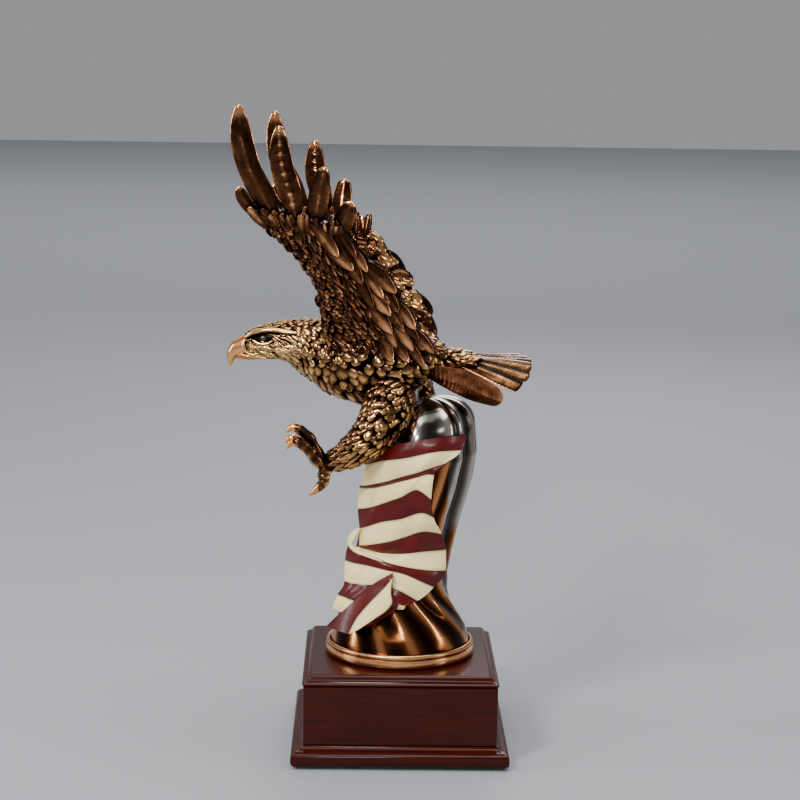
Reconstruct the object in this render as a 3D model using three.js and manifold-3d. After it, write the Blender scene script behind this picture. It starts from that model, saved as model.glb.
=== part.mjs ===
// Eagle statuette on a draped column, with a folded banner and a mahogany plinth.
// Millimetres, +Z up. The origin is the centre of the felt's underside. The eagle faces -X
// and its left wing, left leg and the banner are on the -Y side.

import * as THREE from 'three';
import { mergeVertices } from 'three/addons/utils/BufferGeometryUtils.js';
import Module from 'manifold-3d';

const wasm = await Module();
wasm.setup();
const { Manifold } = wasm;

// ---------------------------------------------------------------- sizes: fits

const GAP = 0.3;              // between two pieces that meet
const PIN_CLEARANCE = 0.2;    // round a dowel or screw, on the radius

// ---------------------------------------------------------------- sizes: plinth

const BLOCK_WIDTH = 113;
const BASE_PROJECTION = 6.85; // of the base board, beyond the block on each side
const TOP_FACE_INSET = 4.7;   // of the top face, inside the block on each side
const FELT_THICKNESS = 1.5;
const FELT_MARGIN = 3;
const BASE_THICKNESS = 11.1;
const PANEL_HEIGHT = 34.6;
const PANEL_THICKNESS = 7;
const TOP_THICKNESS = 6.1;
const ACCESS_HOLE_RADIUS = 15;
const CORNER_BLOCK_WIDTH = 13;
const SCREW_RADIUS = 1.75;
const SCREW_HEAD_RADIUS = 3.6;
const SCREW_HEAD_DEPTH = 2.4; // of the countersunk cone
const SCREW_POINT = 3;        // length of the pointed end
const SCREW_LENGTH = 25;

const BASE_WIDTH = BLOCK_WIDTH + 2 * BASE_PROJECTION;
const TOP_FACE_WIDTH = BLOCK_WIDTH - 2 * TOP_FACE_INSET;
const BASE_BOTTOM = FELT_THICKNESS + GAP;
const BASE_TOP = BASE_BOTTOM + BASE_THICKNESS;
const PANEL_BOTTOM = BASE_TOP + GAP;
const TOP_BOTTOM = PANEL_BOTTOM + PANEL_HEIGHT + GAP;
const PLINTH_TOP = TOP_BOTTOM + TOP_THICKNESS;

// ---------------------------------------------------------------- sizes: column and its stud

const RING_RADIUS = 44.5;
const RING_HEIGHT = 8.4;
const RING_LIP = 2.8;
const RING_LIP_WIDTH = 3;
const COLUMN_HEIGHT = 148;
const COLUMN_WALL = 5;
const COLUMN_LEAN = 12;       // how far the top's centre stands towards +X
const COLUMN_TWIST = 2.4;     // turn of the folds over the whole height, in radians
const FOLD_COUNT = 5;
const FOLD_DEPTH = 0.035;     // as a share of the radius
const ROD_RADIUS = 3;
const ROD_X = 6;
const ROD_IN_BODY = 18;
const NUT_RADIUS = 5.6;
const NUT_HEIGHT = 5;
const WASHER_RADIUS = 8;
const WASHER_THICKNESS = 1.4;
const ROD_TAIL = 4;           // rod left below the nut

const RING_BOTTOM = PLINTH_TOP + GAP;
const RECESS_FLOOR = RING_BOTTOM + RING_HEIGHT - RING_LIP;
const COLUMN_BOTTOM = RECESS_FLOOR + GAP;
const COLUMN_FOOT_RADIUS = RING_RADIUS - RING_LIP_WIDTH - GAP;
const COLUMN_TOP = COLUMN_BOTTOM + COLUMN_HEIGHT;

// ---------------------------------------------------------------- sizes: banner

const BANNER_THICKNESS = 2.6;
const BANNER_SPAN = 50;       // about the least width across the front
const BANNER_DROP = 19;       // from the column's top to the middle of the banner's top edge
const BANNER_STANDOFF = 1;    // least room between the column's folds and the banner
const BANNER_FOOT_LEFT_RISE = 15;
const BANNER_FOOT_RIGHT_RISE = 35;
const BANNER_EDGE_SLOPE = 4;  // how much higher the top edge's right end stands
const BANNER_RIPPLE = 1.2;
const BANNER_RIPPLES = 7;     // over the banner's height
const BANNER_PIN_RADIUS = 1.5;
const BANNER_PIN_LENGTH = 9;

// ---------------------------------------------------------------- sizes: eagle

const BODY_WIDTH = 48;        // across the chest
const BODY_X = 1.3;
const BODY_RISE = 22;         // of the spine's datum, above the column's top
const BODY_Z = COLUMN_TOP + BODY_RISE;
const SHOULDER_X = -31.3;
const SHOULDER_RISE = 14.6;   // above the spine
const WING_LENGTH = 135.5;    // shoulder to tip, upwards
const WING_SPREAD = 50;       // from the eagle's middle plane to a wing's tip
const WING_THICKNESS = 3.4;
const WING_ROOT_INSET = 7;    // of a wing's root, inside the chest's side
const RIGHT_WING_SHIFT_X = 14.5;
const RIGHT_WING_DROP = 8;
const TAIL_LENGTH = 54;
const TAIL_RISE = 1.2;        // above the spine's datum
const DOWEL_RADIUS = 2;
const DOWEL_LENGTH = 14;

// ---------------------------------------------------------------- solids

function toSolid(geometry) {
  const bare = new THREE.BufferGeometry();
  bare.setAttribute('position', geometry.attributes.position);
  bare.setIndex(geometry.index);
  const merged = mergeVertices(bare, 1e-4);
  const corners = merged.index.array;
  const triangles = [];
  for (let i = 0; i < corners.length; i += 3) {
    const [a, b, c] = [corners[i], corners[i + 1], corners[i + 2]];
    if (a !== b && b !== c && c !== a) triangles.push(a, b, c);
  }
  const mesh = (order) => new wasm.Mesh({
    numProp: 3,
    vertProperties: new Float32Array(merged.attributes.position.array),
    triVerts: new Uint32Array(order),
  });
  const solid = new Manifold(mesh(triangles));
  return solid.volume() > 0 ? solid : new Manifold(mesh(triangles.toReversed()));
}

function toGeometry(solid) {
  const mesh = solid.getMesh();
  const geometry = new THREE.BufferGeometry();
  geometry.setAttribute('position', new THREE.BufferAttribute(new Float32Array(mesh.vertProperties), 3));
  geometry.setIndex(new THREE.BufferAttribute(new Uint32Array(mesh.triVerts), 1));
  geometry.computeVertexNormals();
  return geometry;
}

function bar(radius, from, to, sides = 16) {
  const axis = new THREE.Vector3().subVectors(to, from);
  const geometry = new THREE.CylinderGeometry(radius, radius, axis.length(), sides);
  const direction = axis.clone().normalize();
  const turn = new THREE.Quaternion().setFromUnitVectors(new THREE.Vector3(0, 1, 0), direction);
  geometry.applyQuaternion(turn);
  geometry.translate((from.x + to.x) / 2, (from.y + to.y) / 2, (from.z + to.z) / 2);
  return toSolid(geometry);
}

const at = (x, y, z) => new THREE.Vector3(x, y, z);

function ball(radius, [x, y, z]) {
  const geometry = new THREE.SphereGeometry(radius, 12, 8);
  geometry.translate(x, y, z);
  return toSolid(geometry);
}

// A lathe about +Z. With four segments it is a square moulding with mitred corners.
function turned(profile, segments) {
  const points = profile.map(([r, z]) => new THREE.Vector2(r, z));
  const geometry = new THREE.LatheGeometry(points, segments, Math.PI / segments);
  geometry.rotateX(Math.PI / 2);
  return toSolid(geometry);
}

function squareBoard(profile) {
  return turned(profile.map(([halfWidth, z]) => [halfWidth * Math.SQRT2, z]), 4);
}

// A closed skin of rows: place(v, angle) gives the point at share v of the way along and at an
// angle round the row, and both ends are closed on the mean of their own row.
function skin(rows, segments, place) {
  const profile = [new THREE.Vector2(0, 0)];
  for (let row = 0; row <= rows; row += 1) profile.push(new THREE.Vector2(1, row));
  profile.push(new THREE.Vector2(0, rows));
  const geometry = new THREE.LatheGeometry(profile, segments);
  const position = geometry.attributes.position;
  const centre = (v) => {
    const sum = at(0, 0, 0);
    for (let i = 0; i < segments; i += 1) sum.add(place(v, (i / segments) * 2 * Math.PI));
    return sum.divideScalar(segments);
  };
  const ends = [centre(0), centre(1)];
  for (let i = 0; i < position.count; i += 1) {
    const v = position.getY(i) / rows;
    const onAxis = Math.hypot(position.getX(i), position.getZ(i)) < 0.5;
    const angle = Math.atan2(position.getX(i), position.getZ(i));
    const point = onAxis ? ends[Math.round(v)] : place(v, angle);
    position.setXYZ(i, point.x, point.y, point.z);
  }
  return toSolid(geometry);
}

// A limb follows stations of [x, y, z, radius across Y, radius in the XZ plane].
function limb(stations, { rows = 12, segments = 12, grow = 0 } = {}) {
  const path = new THREE.CatmullRomCurve3(stations.map(([x, y, z]) => at(x, y, z)), false, 'centripetal');
  const girth = new THREE.CatmullRomCurve3(stations.map((s, i) => at(s[3], s[4], i)), false, 'centripetal');
  return skin(rows, segments, (v, angle) => {
    const tangent = path.getTangent(v);
    const side = at(0, 1, 0).addScaledVector(tangent, -tangent.y).normalize();
    const up = new THREE.Vector3().crossVectors(tangent, side);
    const size = girth.getPoint(v);
    return path.getPoint(v)
      .addScaledVector(side, (size.x + grow) * Math.cos(angle))
      .addScaledVector(up, (size.y + grow) * Math.sin(angle));
  });
}

function mix(table, key) {
  let i = 1;
  while (i < table.length - 1 && table[i][0] < key) i += 1;
  const [low, high] = [table[i - 1], table[i]];
  const share = THREE.MathUtils.clamp((key - low[0]) / (high[0] - low[0]), 0, 1);
  return low.map((value, k) => value + (high[k] - value) * share);
}

// ---------------------------------------------------------------- plinth

function makeBaseBoard() {
  const [w, b] = [BASE_WIDTH / 2, BLOCK_WIDTH / 2];
  const board = squareBoard([
    [0, BASE_BOTTOM], [w - 1.8, BASE_BOTTOM], [w - 0.5, BASE_BOTTOM + 1.4], [w, BASE_BOTTOM + 4.4],
    [w - 0.5, BASE_BOTTOM + 6.9], [w - 1.9, BASE_BOTTOM + 8], [b + 1.6, BASE_BOTTOM + 9.4],
    [b + 0.9, BASE_TOP], [0, BASE_TOP],
  ]);
  const access = bar(ACCESS_HOLE_RADIUS, at(ROD_X, 0, BASE_BOTTOM - 1), at(ROD_X, 0, BASE_TOP + 1), 24);
  return Manifold.difference([board, access, ...cornerPlaces().map(screwHole)]);
}

function makeTopBoard() {
  const [b, t] = [BLOCK_WIDTH / 2, TOP_FACE_WIDTH / 2];
  const board = squareBoard([
    [0, TOP_BOTTOM], [b, TOP_BOTTOM], [b + 0.5, TOP_BOTTOM + 1.1], [b - 0.2, TOP_BOTTOM + 2.3],
    [t + 2.4, TOP_BOTTOM + 3.4], [t + 1.8, PLINTH_TOP - 1], [t, PLINTH_TOP], [0, PLINTH_TOP],
  ]);
  return board.subtract(rod(PIN_CLEARANCE));
}

function makePanel(turn) {
  const outer = BLOCK_WIDTH / 2;
  const inner = outer - PANEL_THICKNESS;
  const mitre = GAP / Math.SQRT2;
  const outline = new THREE.Shape([
    new THREE.Vector2(-outer + mitre, -outer), new THREE.Vector2(outer - mitre, -outer),
    new THREE.Vector2(inner - mitre, -inner), new THREE.Vector2(-inner + mitre, -inner),
  ]);
  const geometry = new THREE.ExtrudeGeometry(outline, { depth: PANEL_HEIGHT, bevelEnabled: false });
  geometry.translate(0, 0, PANEL_BOTTOM);
  geometry.rotateZ(turn);
  return toSolid(geometry);
}

function cornerPlaces() {
  const reach = BLOCK_WIDTH / 2 - PANEL_THICKNESS - GAP - CORNER_BLOCK_WIDTH / 2;
  return [[-1, -1], [1, -1], [1, 1], [-1, 1]].map(([x, y]) => [x * reach, y * reach]);
}

function screwProfile(grow) {
  const bottom = BASE_BOTTOM + GAP;
  return [
    [0, bottom - grow], [SCREW_HEAD_RADIUS + grow, bottom - grow],
    [SCREW_RADIUS + grow, bottom + SCREW_HEAD_DEPTH],
    [SCREW_RADIUS + grow, bottom + SCREW_LENGTH - SCREW_POINT],
    [0, bottom + SCREW_LENGTH + grow],
  ];
}

const makeScrew = ([x, y]) => turned(screwProfile(0), 12).translate(x, y, 0);
const screwHole = ([x, y]) => turned(screwProfile(PIN_CLEARANCE + GAP), 12).translate(x, y, 0);

function makeCornerBlock([x, y]) {
  const box = new THREE.BoxGeometry(CORNER_BLOCK_WIDTH, CORNER_BLOCK_WIDTH, PANEL_HEIGHT);
  box.translate(x, y, PANEL_BOTTOM + PANEL_HEIGHT / 2);
  return toSolid(box).subtract(screwHole([x, y]));
}

function makeFelt() {
  const width = BASE_WIDTH - 2 * FELT_MARGIN;
  const sheet = new THREE.BoxGeometry(width, width, FELT_THICKNESS);
  sheet.translate(0, 0, FELT_THICKNESS / 2);
  return toSolid(sheet);
}

// ---------------------------------------------------------------- ring and column

function makeRing() {
  const [r, z] = [RING_RADIUS, RING_BOTTOM];
  const inner = r - RING_LIP_WIDTH;
  const disc = turned([
    [0, z], [r - 2, z], [r - 0.5, z + 1.5], [r, z + 4], [r - 0.4, z + 6.2], [r - 1.4, z + 7.8],
    [inner + 0.4, z + RING_HEIGHT], [inner + 0.1, RECESS_FLOOR], [0, RECESS_FLOOR],
  ], 40);
  return disc.subtract(rod(PIN_CLEARANCE));
}

// Share of the height, share of the lean, radius as a share of the foot's. The last row is
// where the crown starts.
const COLUMN_ROWS = [
  [0, 0, 1], [0.02, 0, 0.99], [0.065, 0, 0.945], [0.13, -0.05, 0.868], [0.21, -0.07, 0.786],
  [0.29, 0.05, 0.747], [0.385, 0.27, 0.74], [0.48, 0.5, 0.752], [0.57, 0.73, 0.776],
  [0.66, 0.91, 0.8], [0.75, 1, 0.788], [0.84, 1, 0.752],
];
const CROWN_START = 0.84;
const CROWN_SHARE = 0.752;    // radius where the crown starts, as a share of the foot's
const CROWN_TILT = 0.25;
const COLUMN_FLATNESS = 0.96; // depth across Y, as a share of the width

function columnPoint(v, angle, grow = 0, crown = 0) {
  const low = Math.min(v, CROWN_START);
  const [, lean, share] = mix(COLUMN_ROWS, low);
  const rise = THREE.MathUtils.clamp((v - CROWN_START) / (1 - CROWN_START), 0, 1) * Math.PI / 2;
  const depth = FOLD_DEPTH * THREE.MathUtils.smoothstep(low, 0.03, 0.15) * (1 - 0.5 * low);
  const fold = 1 + depth * Math.cos(FOLD_COUNT * (angle + COLUMN_TWIST * low));
  const radius = (COLUMN_FOOT_RADIUS * share * fold + grow) * Math.max(Math.cos(rise), 0.02);
  const x = COLUMN_LEAN * lean + radius * Math.sin(angle);
  const y = -radius * Math.cos(angle) * COLUMN_FLATNESS;
  const height = COLUMN_HEIGHT * (1 - CROWN_START) + grow;
  const tilt = CROWN_TILT * THREE.MathUtils.smoothstep(low, 0.6, CROWN_START);
  const z = COLUMN_BOTTOM + COLUMN_HEIGHT * low + height * Math.sin(rise) + tilt * (x - COLUMN_LEAN);
  return at(x, y, z - crown);
}

function crownHeight(x) {
  const radius = COLUMN_FOOT_RADIUS * CROWN_SHARE;
  const share = THREE.MathUtils.clamp((x - COLUMN_LEAN) / radius, -1, 1);
  return COLUMN_TOP - COLUMN_HEIGHT * (1 - CROWN_START) * (1 - Math.sqrt(1 - share * share))
    + CROWN_TILT * (x - COLUMN_LEAN);
}

function columnSkin(grow = 0, crown = 0) {
  return skin(30, 40, (v, angle) => columnPoint(v, angle, grow, crown));
}

function makeColumn() {
  const hollow = skin(14, 20, (v, angle) => columnPoint(v * 0.97, angle, -COLUMN_WALL, COLUMN_WALL));
  return Manifold.difference([columnSkin(), hollow, rod(PIN_CLEARANCE), ...bannerPins(PIN_CLEARANCE)]);
}

// ---------------------------------------------------------------- stud

const ROD_BOTTOM = TOP_BOTTOM - GAP - WASHER_THICKNESS - GAP - NUT_HEIGHT - ROD_TAIL;
const ROD_TOP = crownHeight(ROD_X) + ROD_IN_BODY;

function rod(grow) {
  return bar(ROD_RADIUS + grow, at(ROD_X, 0, ROD_BOTTOM - grow), at(ROD_X, 0, ROD_TOP + grow), 16);
}

function makeWasher() {
  const top = TOP_BOTTOM - GAP;
  const disc = bar(WASHER_RADIUS, at(ROD_X, 0, top - WASHER_THICKNESS), at(ROD_X, 0, top), 24);
  return disc.subtract(rod(PIN_CLEARANCE));
}

function makeNut() {
  const top = TOP_BOTTOM - GAP - WASHER_THICKNESS - GAP;
  return bar(NUT_RADIUS, at(ROD_X, 0, top - NUT_HEIGHT), at(ROD_X, 0, top), 6).subtract(rod(PIN_CLEARANCE));
}

// ---------------------------------------------------------------- banner

// Height above the banner's foot as a share, then the left and right edge in degrees from the
// front, and how far the left and right edges stand off the column.
const BANNER_ROWS = [
  [0, -64, 10, 8, 3], [0.1, -66, 22, 7, 4], [0.25, -72, 38, 4, 5], [0.4, -76, 42, 2, 4],
  [0.55, -84, 26, 0, 2], [0.7, -90, 16, 0, 2], [0.83, -92, 22, 0, 2], [0.92, -90, 36, 0, 1],
  [1, -86, 47, 0, 0],
];
const BANNER_TOP = COLUMN_TOP - BANNER_DROP;
const BANNER_FOOT_LEFT = COLUMN_BOTTOM + BANNER_FOOT_LEFT_RISE;
const BANNER_FOOT_RIGHT = COLUMN_BOTTOM + BANNER_FOOT_RIGHT_RISE;
const BANNER_PIN_PLACES = [[0.45, 0.85], [0.5, 0.28]]; // shares of the width and of the height
const BANNER_PIN_SINK = 0.6;  // of the banner's thickness that a pin passes through

function bannerPoint(across, up, outward, grow = 0) {
  const foot = THREE.MathUtils.lerp(BANNER_FOOT_LEFT, BANNER_FOOT_RIGHT, Math.sqrt(Math.max(across, 0)));
  const z = THREE.MathUtils.lerp(foot, BANNER_TOP + BANNER_EDGE_SLOPE * (across - 0.5), up);
  const [, left, right, offLeft, offRight] = mix(BANNER_ROWS, up);
  const angle = THREE.MathUtils.degToRad(THREE.MathUtils.lerp(left, right, across));
  const flare = (1 - up) * (1 + 2 * Math.sin(3 * Math.PI * across));
  const lift = THREE.MathUtils.lerp(offLeft, offRight, across) + flare + (2 * outward - 1) * grow;
  const ripple = BANNER_RIPPLE * Math.sin(BANNER_RIPPLES * Math.PI * up) ** 2;
  const v = (z - COLUMN_BOTTOM) / COLUMN_HEIGHT;
  const standOff = BANNER_STANDOFF + lift + ripple + outward * BANNER_THICKNESS;
  const point = columnPoint(v, angle, standOff);
  return at(point.x, point.y, z);
}

// A grown skin, which cuts the room that a neighbour leaves, is wider than the banner too.
function bannerSkin(grow = 0) {
  const sheet = new THREE.BoxGeometry(1, 1, 1, 14, 18, 1);
  const position = sheet.attributes.position;
  const wider = 1 + 2 * grow / BANNER_SPAN;
  for (let i = 0; i < position.count; i += 1) {
    const [across, up] = [0.5 + position.getX(i) * wider, 0.5 + position.getY(i) * wider];
    const point = bannerPoint(across, up, position.getZ(i) + 0.5, grow);
    position.setXYZ(i, point.x, point.y, point.z);
  }
  return toSolid(sheet);
}

function makeBanner() {
  return Manifold.difference([bannerSkin(), columnSkin(GAP), ...bannerPins(PIN_CLEARANCE)]);
}

// Each pin runs from just under the banner's outer face into the column's wall.
function bannerPins(grow) {
  return BANNER_PIN_PLACES.map(([across, up]) => {
    const outer = bannerPoint(across, up, BANNER_PIN_SINK);
    const inner = outer.clone();
    outer.y -= grow;
    inner.y += BANNER_PIN_LENGTH + grow;
    return bar(BANNER_PIN_RADIUS + grow, outer, inner, 12);
  });
}

// ---------------------------------------------------------------- eagle: body

// x, height from the spine's datum, half width as a share, half height: beak to rump.
const BODY_ROWS = [
  [-103.2, -2.6, 0.03, 0.8], [-102.4, 2.4, 0.07, 4.4], [-98.4, 4.8, 0.14, 5.4], [-94, 6.6, 0.2, 6.6],
  [-90, 8.3, 0.3, 8], [-82, 10.8, 0.43, 10.2], [-72, 12, 0.5, 11.8], [-61, 11, 0.56, 14.4],
  [-51, 7.8, 0.68, 18], [-41, 4.5, 0.84, 22.8], [-28, 2, 0.98, 26.4], [-12, 0.5, 1, 26],
  [3, 0.5, 0.84, 20.5], [15, 1, 0.56, 12.5], [24, 1.2, 0.4, 7.6],
];

function bodySkin(grow = 0) {
  const stations = BODY_ROWS.map(([x, z, share, half]) => (
    [BODY_X + x, 0, BODY_Z + z, share * BODY_WIDTH / 2, half]));
  return limb(stations, { rows: 30, segments: 24, grow });
}

function makeBody() {
  const cuts = [columnSkin(GAP), rod(PIN_CLEARANCE), ...dowels(PIN_CLEARANCE)];
  return Manifold.difference([bodySkin(), ...cuts]);
}

// ---------------------------------------------------------------- eagle: feathers and wings

// A feather is a pointed leaf in the XZ plane, extruded through its thickness along Y. Its root
// and tip are [x, z], and bow is how far its middle stands off the line between them.
function feather(root, tip, width, bow, thickness, y) {
  const along = new THREE.Vector2(tip[0] - root[0], tip[1] - root[1]);
  const length = along.length();
  const leaf = new THREE.Shape();
  leaf.moveTo(0, -width * 0.36);
  leaf.bezierCurveTo(length * 0.4, -width * 0.55 + bow, length * 0.95, -width * 0.62, length, 0);
  leaf.bezierCurveTo(length * 0.95, width * 0.5, length * 0.4, width * 0.55 + bow, 0, width * 0.36);
  leaf.closePath();
  const bevel = thickness * 0.3;
  const geometry = new THREE.ExtrudeGeometry(leaf, {
    depth: thickness - 2 * bevel,
    curveSegments: 5,
    bevelThickness: bevel,
    bevelSize: bevel,
    bevelOffset: -bevel,
    bevelSegments: 1,
  });
  geometry.translate(0, 0, -thickness / 2 + bevel);
  geometry.rotateZ(Math.atan2(along.y, along.x));
  geometry.rotateX(Math.PI / 2);
  geometry.translate(root[0], y, root[1]);
  return toSolid(geometry);
}

// Root x, z and tip x, z as shares of the wing's length from the shoulder, then width and bow.
const PRIMARIES = [
  [-0.32, 0.47, -0.475, 1, 0.135, 0.03], [-0.22, 0.46, -0.3, 0.9, 0.11, 0.02],
  [-0.16, 0.44, -0.125, 0.745, 0.1, 0], [-0.1, 0.4, -0.02, 0.6, 0.09, 0],
  [-0.36, 0.52, -0.495, 0.655, 0.06, 0.01],
];
const SECONDARIES = [
  [-0.13, 0.43, 0.1, 0.26, 0.11, 0], [-0.1, 0.38, 0.19, 0.14, 0.115, 0],
  [-0.08, 0.31, 0.26, 0.03, 0.12, 0], [-0.06, 0.23, 0.3, -0.05, 0.12, 0],
  [-0.04, 0.13, 0.25, -0.09, 0.12, 0],
];
const FEATHER_OVERLAP = 0.4;  // step between neighbouring feathers, as a share of their thickness

// Centre x and z as shares of the wing's length, then the radius across and along, in mm.
const ARM = [
  [-0.02, -0.05, 8, 11], [-0.05, 0.1, 7, 11], [-0.08, 0.21, 6, 11], [-0.15, 0.32, 5.5, 11],
  [-0.25, 0.42, 5, 11], [-0.35, 0.51, 3.5, 7],
];

// side is -1 for the left wing and 1 for the right one.
function makeWing(side) {
  const size = WING_LENGTH;
  const flat = [...PRIMARIES, ...SECONDARIES].map((row, i) => {
    const [rootX, rootZ, tipX, tipZ, width, bow] = row.map((share) => share * size);
    const y = -(i % 2) * WING_THICKNESS * FEATHER_OVERLAP;
    return feather([rootX, rootZ], [tipX, tipZ], width, bow, WING_THICKNESS, y);
  });
  const stations = ARM.map(([x, z, across, along]) => [x * size, 0, z * size, across, along]);
  const arm = limb(stations, { rows: 10 });
  const whole = Manifold.union([arm, ...flat]);
  const handed = side < 0 ? whole : whole.mirror([0, 1, 0]);
  const right = (side + 1) / 2;
  const root = BODY_WIDTH / 2 - WING_ROOT_INSET;
  const tip = WING_SPREAD - WING_THICKNESS;
  const raised = handed.warp((point) => {
    const share = THREE.MathUtils.clamp(point[2] / size, 0, 1);
    point[0] += BODY_X + SHOULDER_X + right * RIGHT_WING_SHIFT_X * Math.min(1, 0.5 + share);
    point[1] += side * THREE.MathUtils.lerp(root, tip, Math.sin(share * Math.PI / 2));
    point[2] += BODY_Z + SHOULDER_RISE - right * RIGHT_WING_DROP * share;
  });
  return Manifold.difference([raised, bodySkin(GAP), ...dowels(PIN_CLEARANCE)]);
}

// ---------------------------------------------------------------- eagle: tail

// Angle from the middle feather towards the far side, in degrees, then the share of the length
// and the width.
const TAIL_FEATHERS = [
  [18, 0.94, 10], [9, 0.98, 10], [0, 1, 10], [-9, 1, 10], [-18, 1, 10], [-28, 0.97, 10],
  [-43, 0.9, 17],
];
const TAIL_DROOP = 35;        // of the near half, in degrees
const TAIL_FAR_DROOP = 4;     // of the rest
const TAIL_TIP_DROP = 1.5;    // of every feather, in degrees
const TAIL_ROOT_X = 20;
const TAIL_STUMP = [[-6, 0, 0, 5, 4.6], [6, 0, 0, 7, 4.8], [14, -1, -0.5, 8, 3.2]];

function makeTail() {
  const thickness = WING_THICKNESS * 0.8;
  const leaves = TAIL_FEATHERS.map(([degrees, share, width], i) => {
    const leaf = feather([0, 0], [TAIL_LENGTH * share, 0], width, 0, thickness, i * 0.3);
    const droop = degrees < 0 ? TAIL_DROOP : TAIL_FAR_DROOP;
    return leaf.rotate([-90, 0, 0]).rotate([0, TAIL_TIP_DROP, degrees]).rotate([droop, 0, 0]);
  });
  const stump = limb(TAIL_STUMP, { rows: 6, segments: 12 });
  const fan = Manifold.union([stump, ...leaves])
    .translate(BODY_X + TAIL_ROOT_X, 0, BODY_Z + TAIL_RISE);
  return Manifold.difference([fan, bodySkin(GAP), ...dowels(PIN_CLEARANCE)]);
}

// ---------------------------------------------------------------- eagle: legs

// Stations of a limb: x, y, z from the body's middle, radius across Y, radius along. The places
// across Y are those of a chest of LEG_CHEST_WIDTH, and spread with it.
const LEG_CHEST_WIDTH = 48;
const LEFT_THIGH = [
  [-4, -18, -12, 12, 13], [-9, -21, -24, 13, 15], [-17, -24, -36, 12, 14],
  [-28, -26, -47.5, 9.5, 11], [-38, -26, -54, 6, 7], [-42, -26, -55.5, 4, 4],
];
const LEFT_TOES = [
  [
    [-39, -26, -56, 3.2, 3.4], [-48.5, -26, -59, 3, 3.2], [-53.5, -27, -47, 2.6, 2.8],
    [-59, -28, -38.5, 2.4, 2.6], [-65.5, -28, -35, 1.6, 1.8], [-69, -28, -38, 0.5, 0.5],
  ],
  [
    [-47.5, -26, -59, 2.8, 3], [-54.5, -21, -54, 2.5, 2.7], [-61, -18, -46.5, 2.3, 2.5],
    [-66.5, -18, -43.5, 1.4, 1.6], [-70.5, -18, -46, 0.5, 0.5],
  ],
  [
    [-47.5, -26, -59, 2.8, 3], [-51.5, -31, -52, 2.5, 2.7], [-59.5, -34, -45, 2.3, 2.5],
    [-65.5, -35, -44, 1.4, 1.6], [-69.5, -35, -48, 0.5, 0.5],
  ],
  [
    [-46.5, -26, -58, 2.8, 3.2], [-46.5, -26, -66, 2.4, 2.6], [-49.5, -26, -72, 2, 2.2],
    [-56, -26, -76.5, 0.5, 0.5],
  ],
];
const KNUCKLE_RADIUS = 5;
const RIGHT_THIGH = [[0, 21, -8, 8, 11], [4, 23, -18, 8.5, 11], [7, 25, -26, 7.5, 8.5]];

// The right foot grips the column: share of the column's height, degrees round it from the
// front, stand-off from it, and the toe's radius. The ankle comes first.
const RIGHT_ANKLE = [0.9, 178, 3.5, 4.5];
const RIGHT_TOES = [
  [RIGHT_ANKLE, [0.87, 198, 2.6, 2.8], [0.82, 213, 2.4, 2.4], [0.77, 222, 1.8, 0.6]],
  [RIGHT_ANKLE, [0.84, 182, 2.6, 2.8], [0.78, 184, 2.4, 2.4], [0.72, 185, 1.8, 0.6]],
  [RIGHT_ANKLE, [0.87, 160, 2.6, 2.8], [0.81, 148, 2.4, 2.4], [0.76, 141, 1.8, 0.6]],
];

function placeOnBody([x, y, z, across, along]) {
  return [BODY_X + x, y * BODY_WIDTH / LEG_CHEST_WIDTH, BODY_Z + z, across, along];
}

function placeOnColumn([share, degrees, standOff, radius]) {
  const point = columnPoint(share, THREE.MathUtils.degToRad(degrees), standOff);
  return [point.x, point.y, point.z, radius, radius];
}

// The toes spring from a ball at the knuckle, the first station of the last toe.
function makeLeg(thigh, toes) {
  const bones = toes.map((toe) => limb(toe, { rows: 9, segments: 8 }));
  const knuckle = ball(KNUCKLE_RADIUS, toes.at(-1)[0]);
  const whole = Manifold.union([limb(thigh, { rows: 10, segments: 14 }), knuckle, ...bones]);
  const neighbours = [bodySkin(GAP), columnSkin(GAP), bannerSkin(GAP)];
  return Manifold.difference([whole, ...neighbours, ...dowels(PIN_CLEARANCE)]);
}

function makeLeftLeg() {
  return makeLeg(LEFT_THIGH.map(placeOnBody), LEFT_TOES.map((toe) => toe.map(placeOnBody)));
}

function makeRightLeg() {
  const thigh = [...RIGHT_THIGH.map(placeOnBody), placeOnColumn(RIGHT_ANKLE)];
  return makeLeg(thigh, RIGHT_TOES.map((toe) => toe.map(placeOnColumn)));
}

// ---------------------------------------------------------------- eagle: dowels

// Middle of each dowel, from the body's middle. Those of the wings and the legs lie along Y, at
// the joint's share of the chest's width.
const WING_PIN = { x: SHOULDER_X + 2, share: 0.36, z: SHOULDER_RISE + 1.5 };
const LEFT_LEG_PIN = { x: -8, share: 0.27, z: -20 };
const RIGHT_LEG_PIN = { x: 2, share: 0.27, z: -15.5 };
const TAIL_PIN_X = TAIL_ROOT_X + 4;

function crossDowel({ x, share, z }, side) {
  const y = side * share * BODY_WIDTH;
  const half = DOWEL_LENGTH / 2;
  return [at(BODY_X + x, y - half, BODY_Z + z), at(BODY_X + x, y + half, BODY_Z + z)];
}

function dowelEnds() {
  const tail = at(BODY_X + TAIL_PIN_X, 0, BODY_Z + TAIL_RISE);
  const half = at(DOWEL_LENGTH / 2, 0, 0);
  return {
    left_wing_pin: crossDowel(WING_PIN, -1),
    right_wing_pin: crossDowel(WING_PIN, 1),
    left_leg_pin: crossDowel(LEFT_LEG_PIN, -1),
    right_leg_pin: crossDowel(RIGHT_LEG_PIN, 1),
    tail_pin: [tail.clone().sub(half), tail.clone().add(half)],
  };
}

function dowel([from, to], grow) {
  const extra = new THREE.Vector3().subVectors(to, from).normalize().multiplyScalar(grow);
  return bar(DOWEL_RADIUS + grow, from.clone().sub(extra), to.clone().add(extra), 12);
}

function dowels(grow) {
  return Object.values(dowelEnds()).map((ends) => dowel(ends, grow));
}

// ---------------------------------------------------------------- materials

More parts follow.
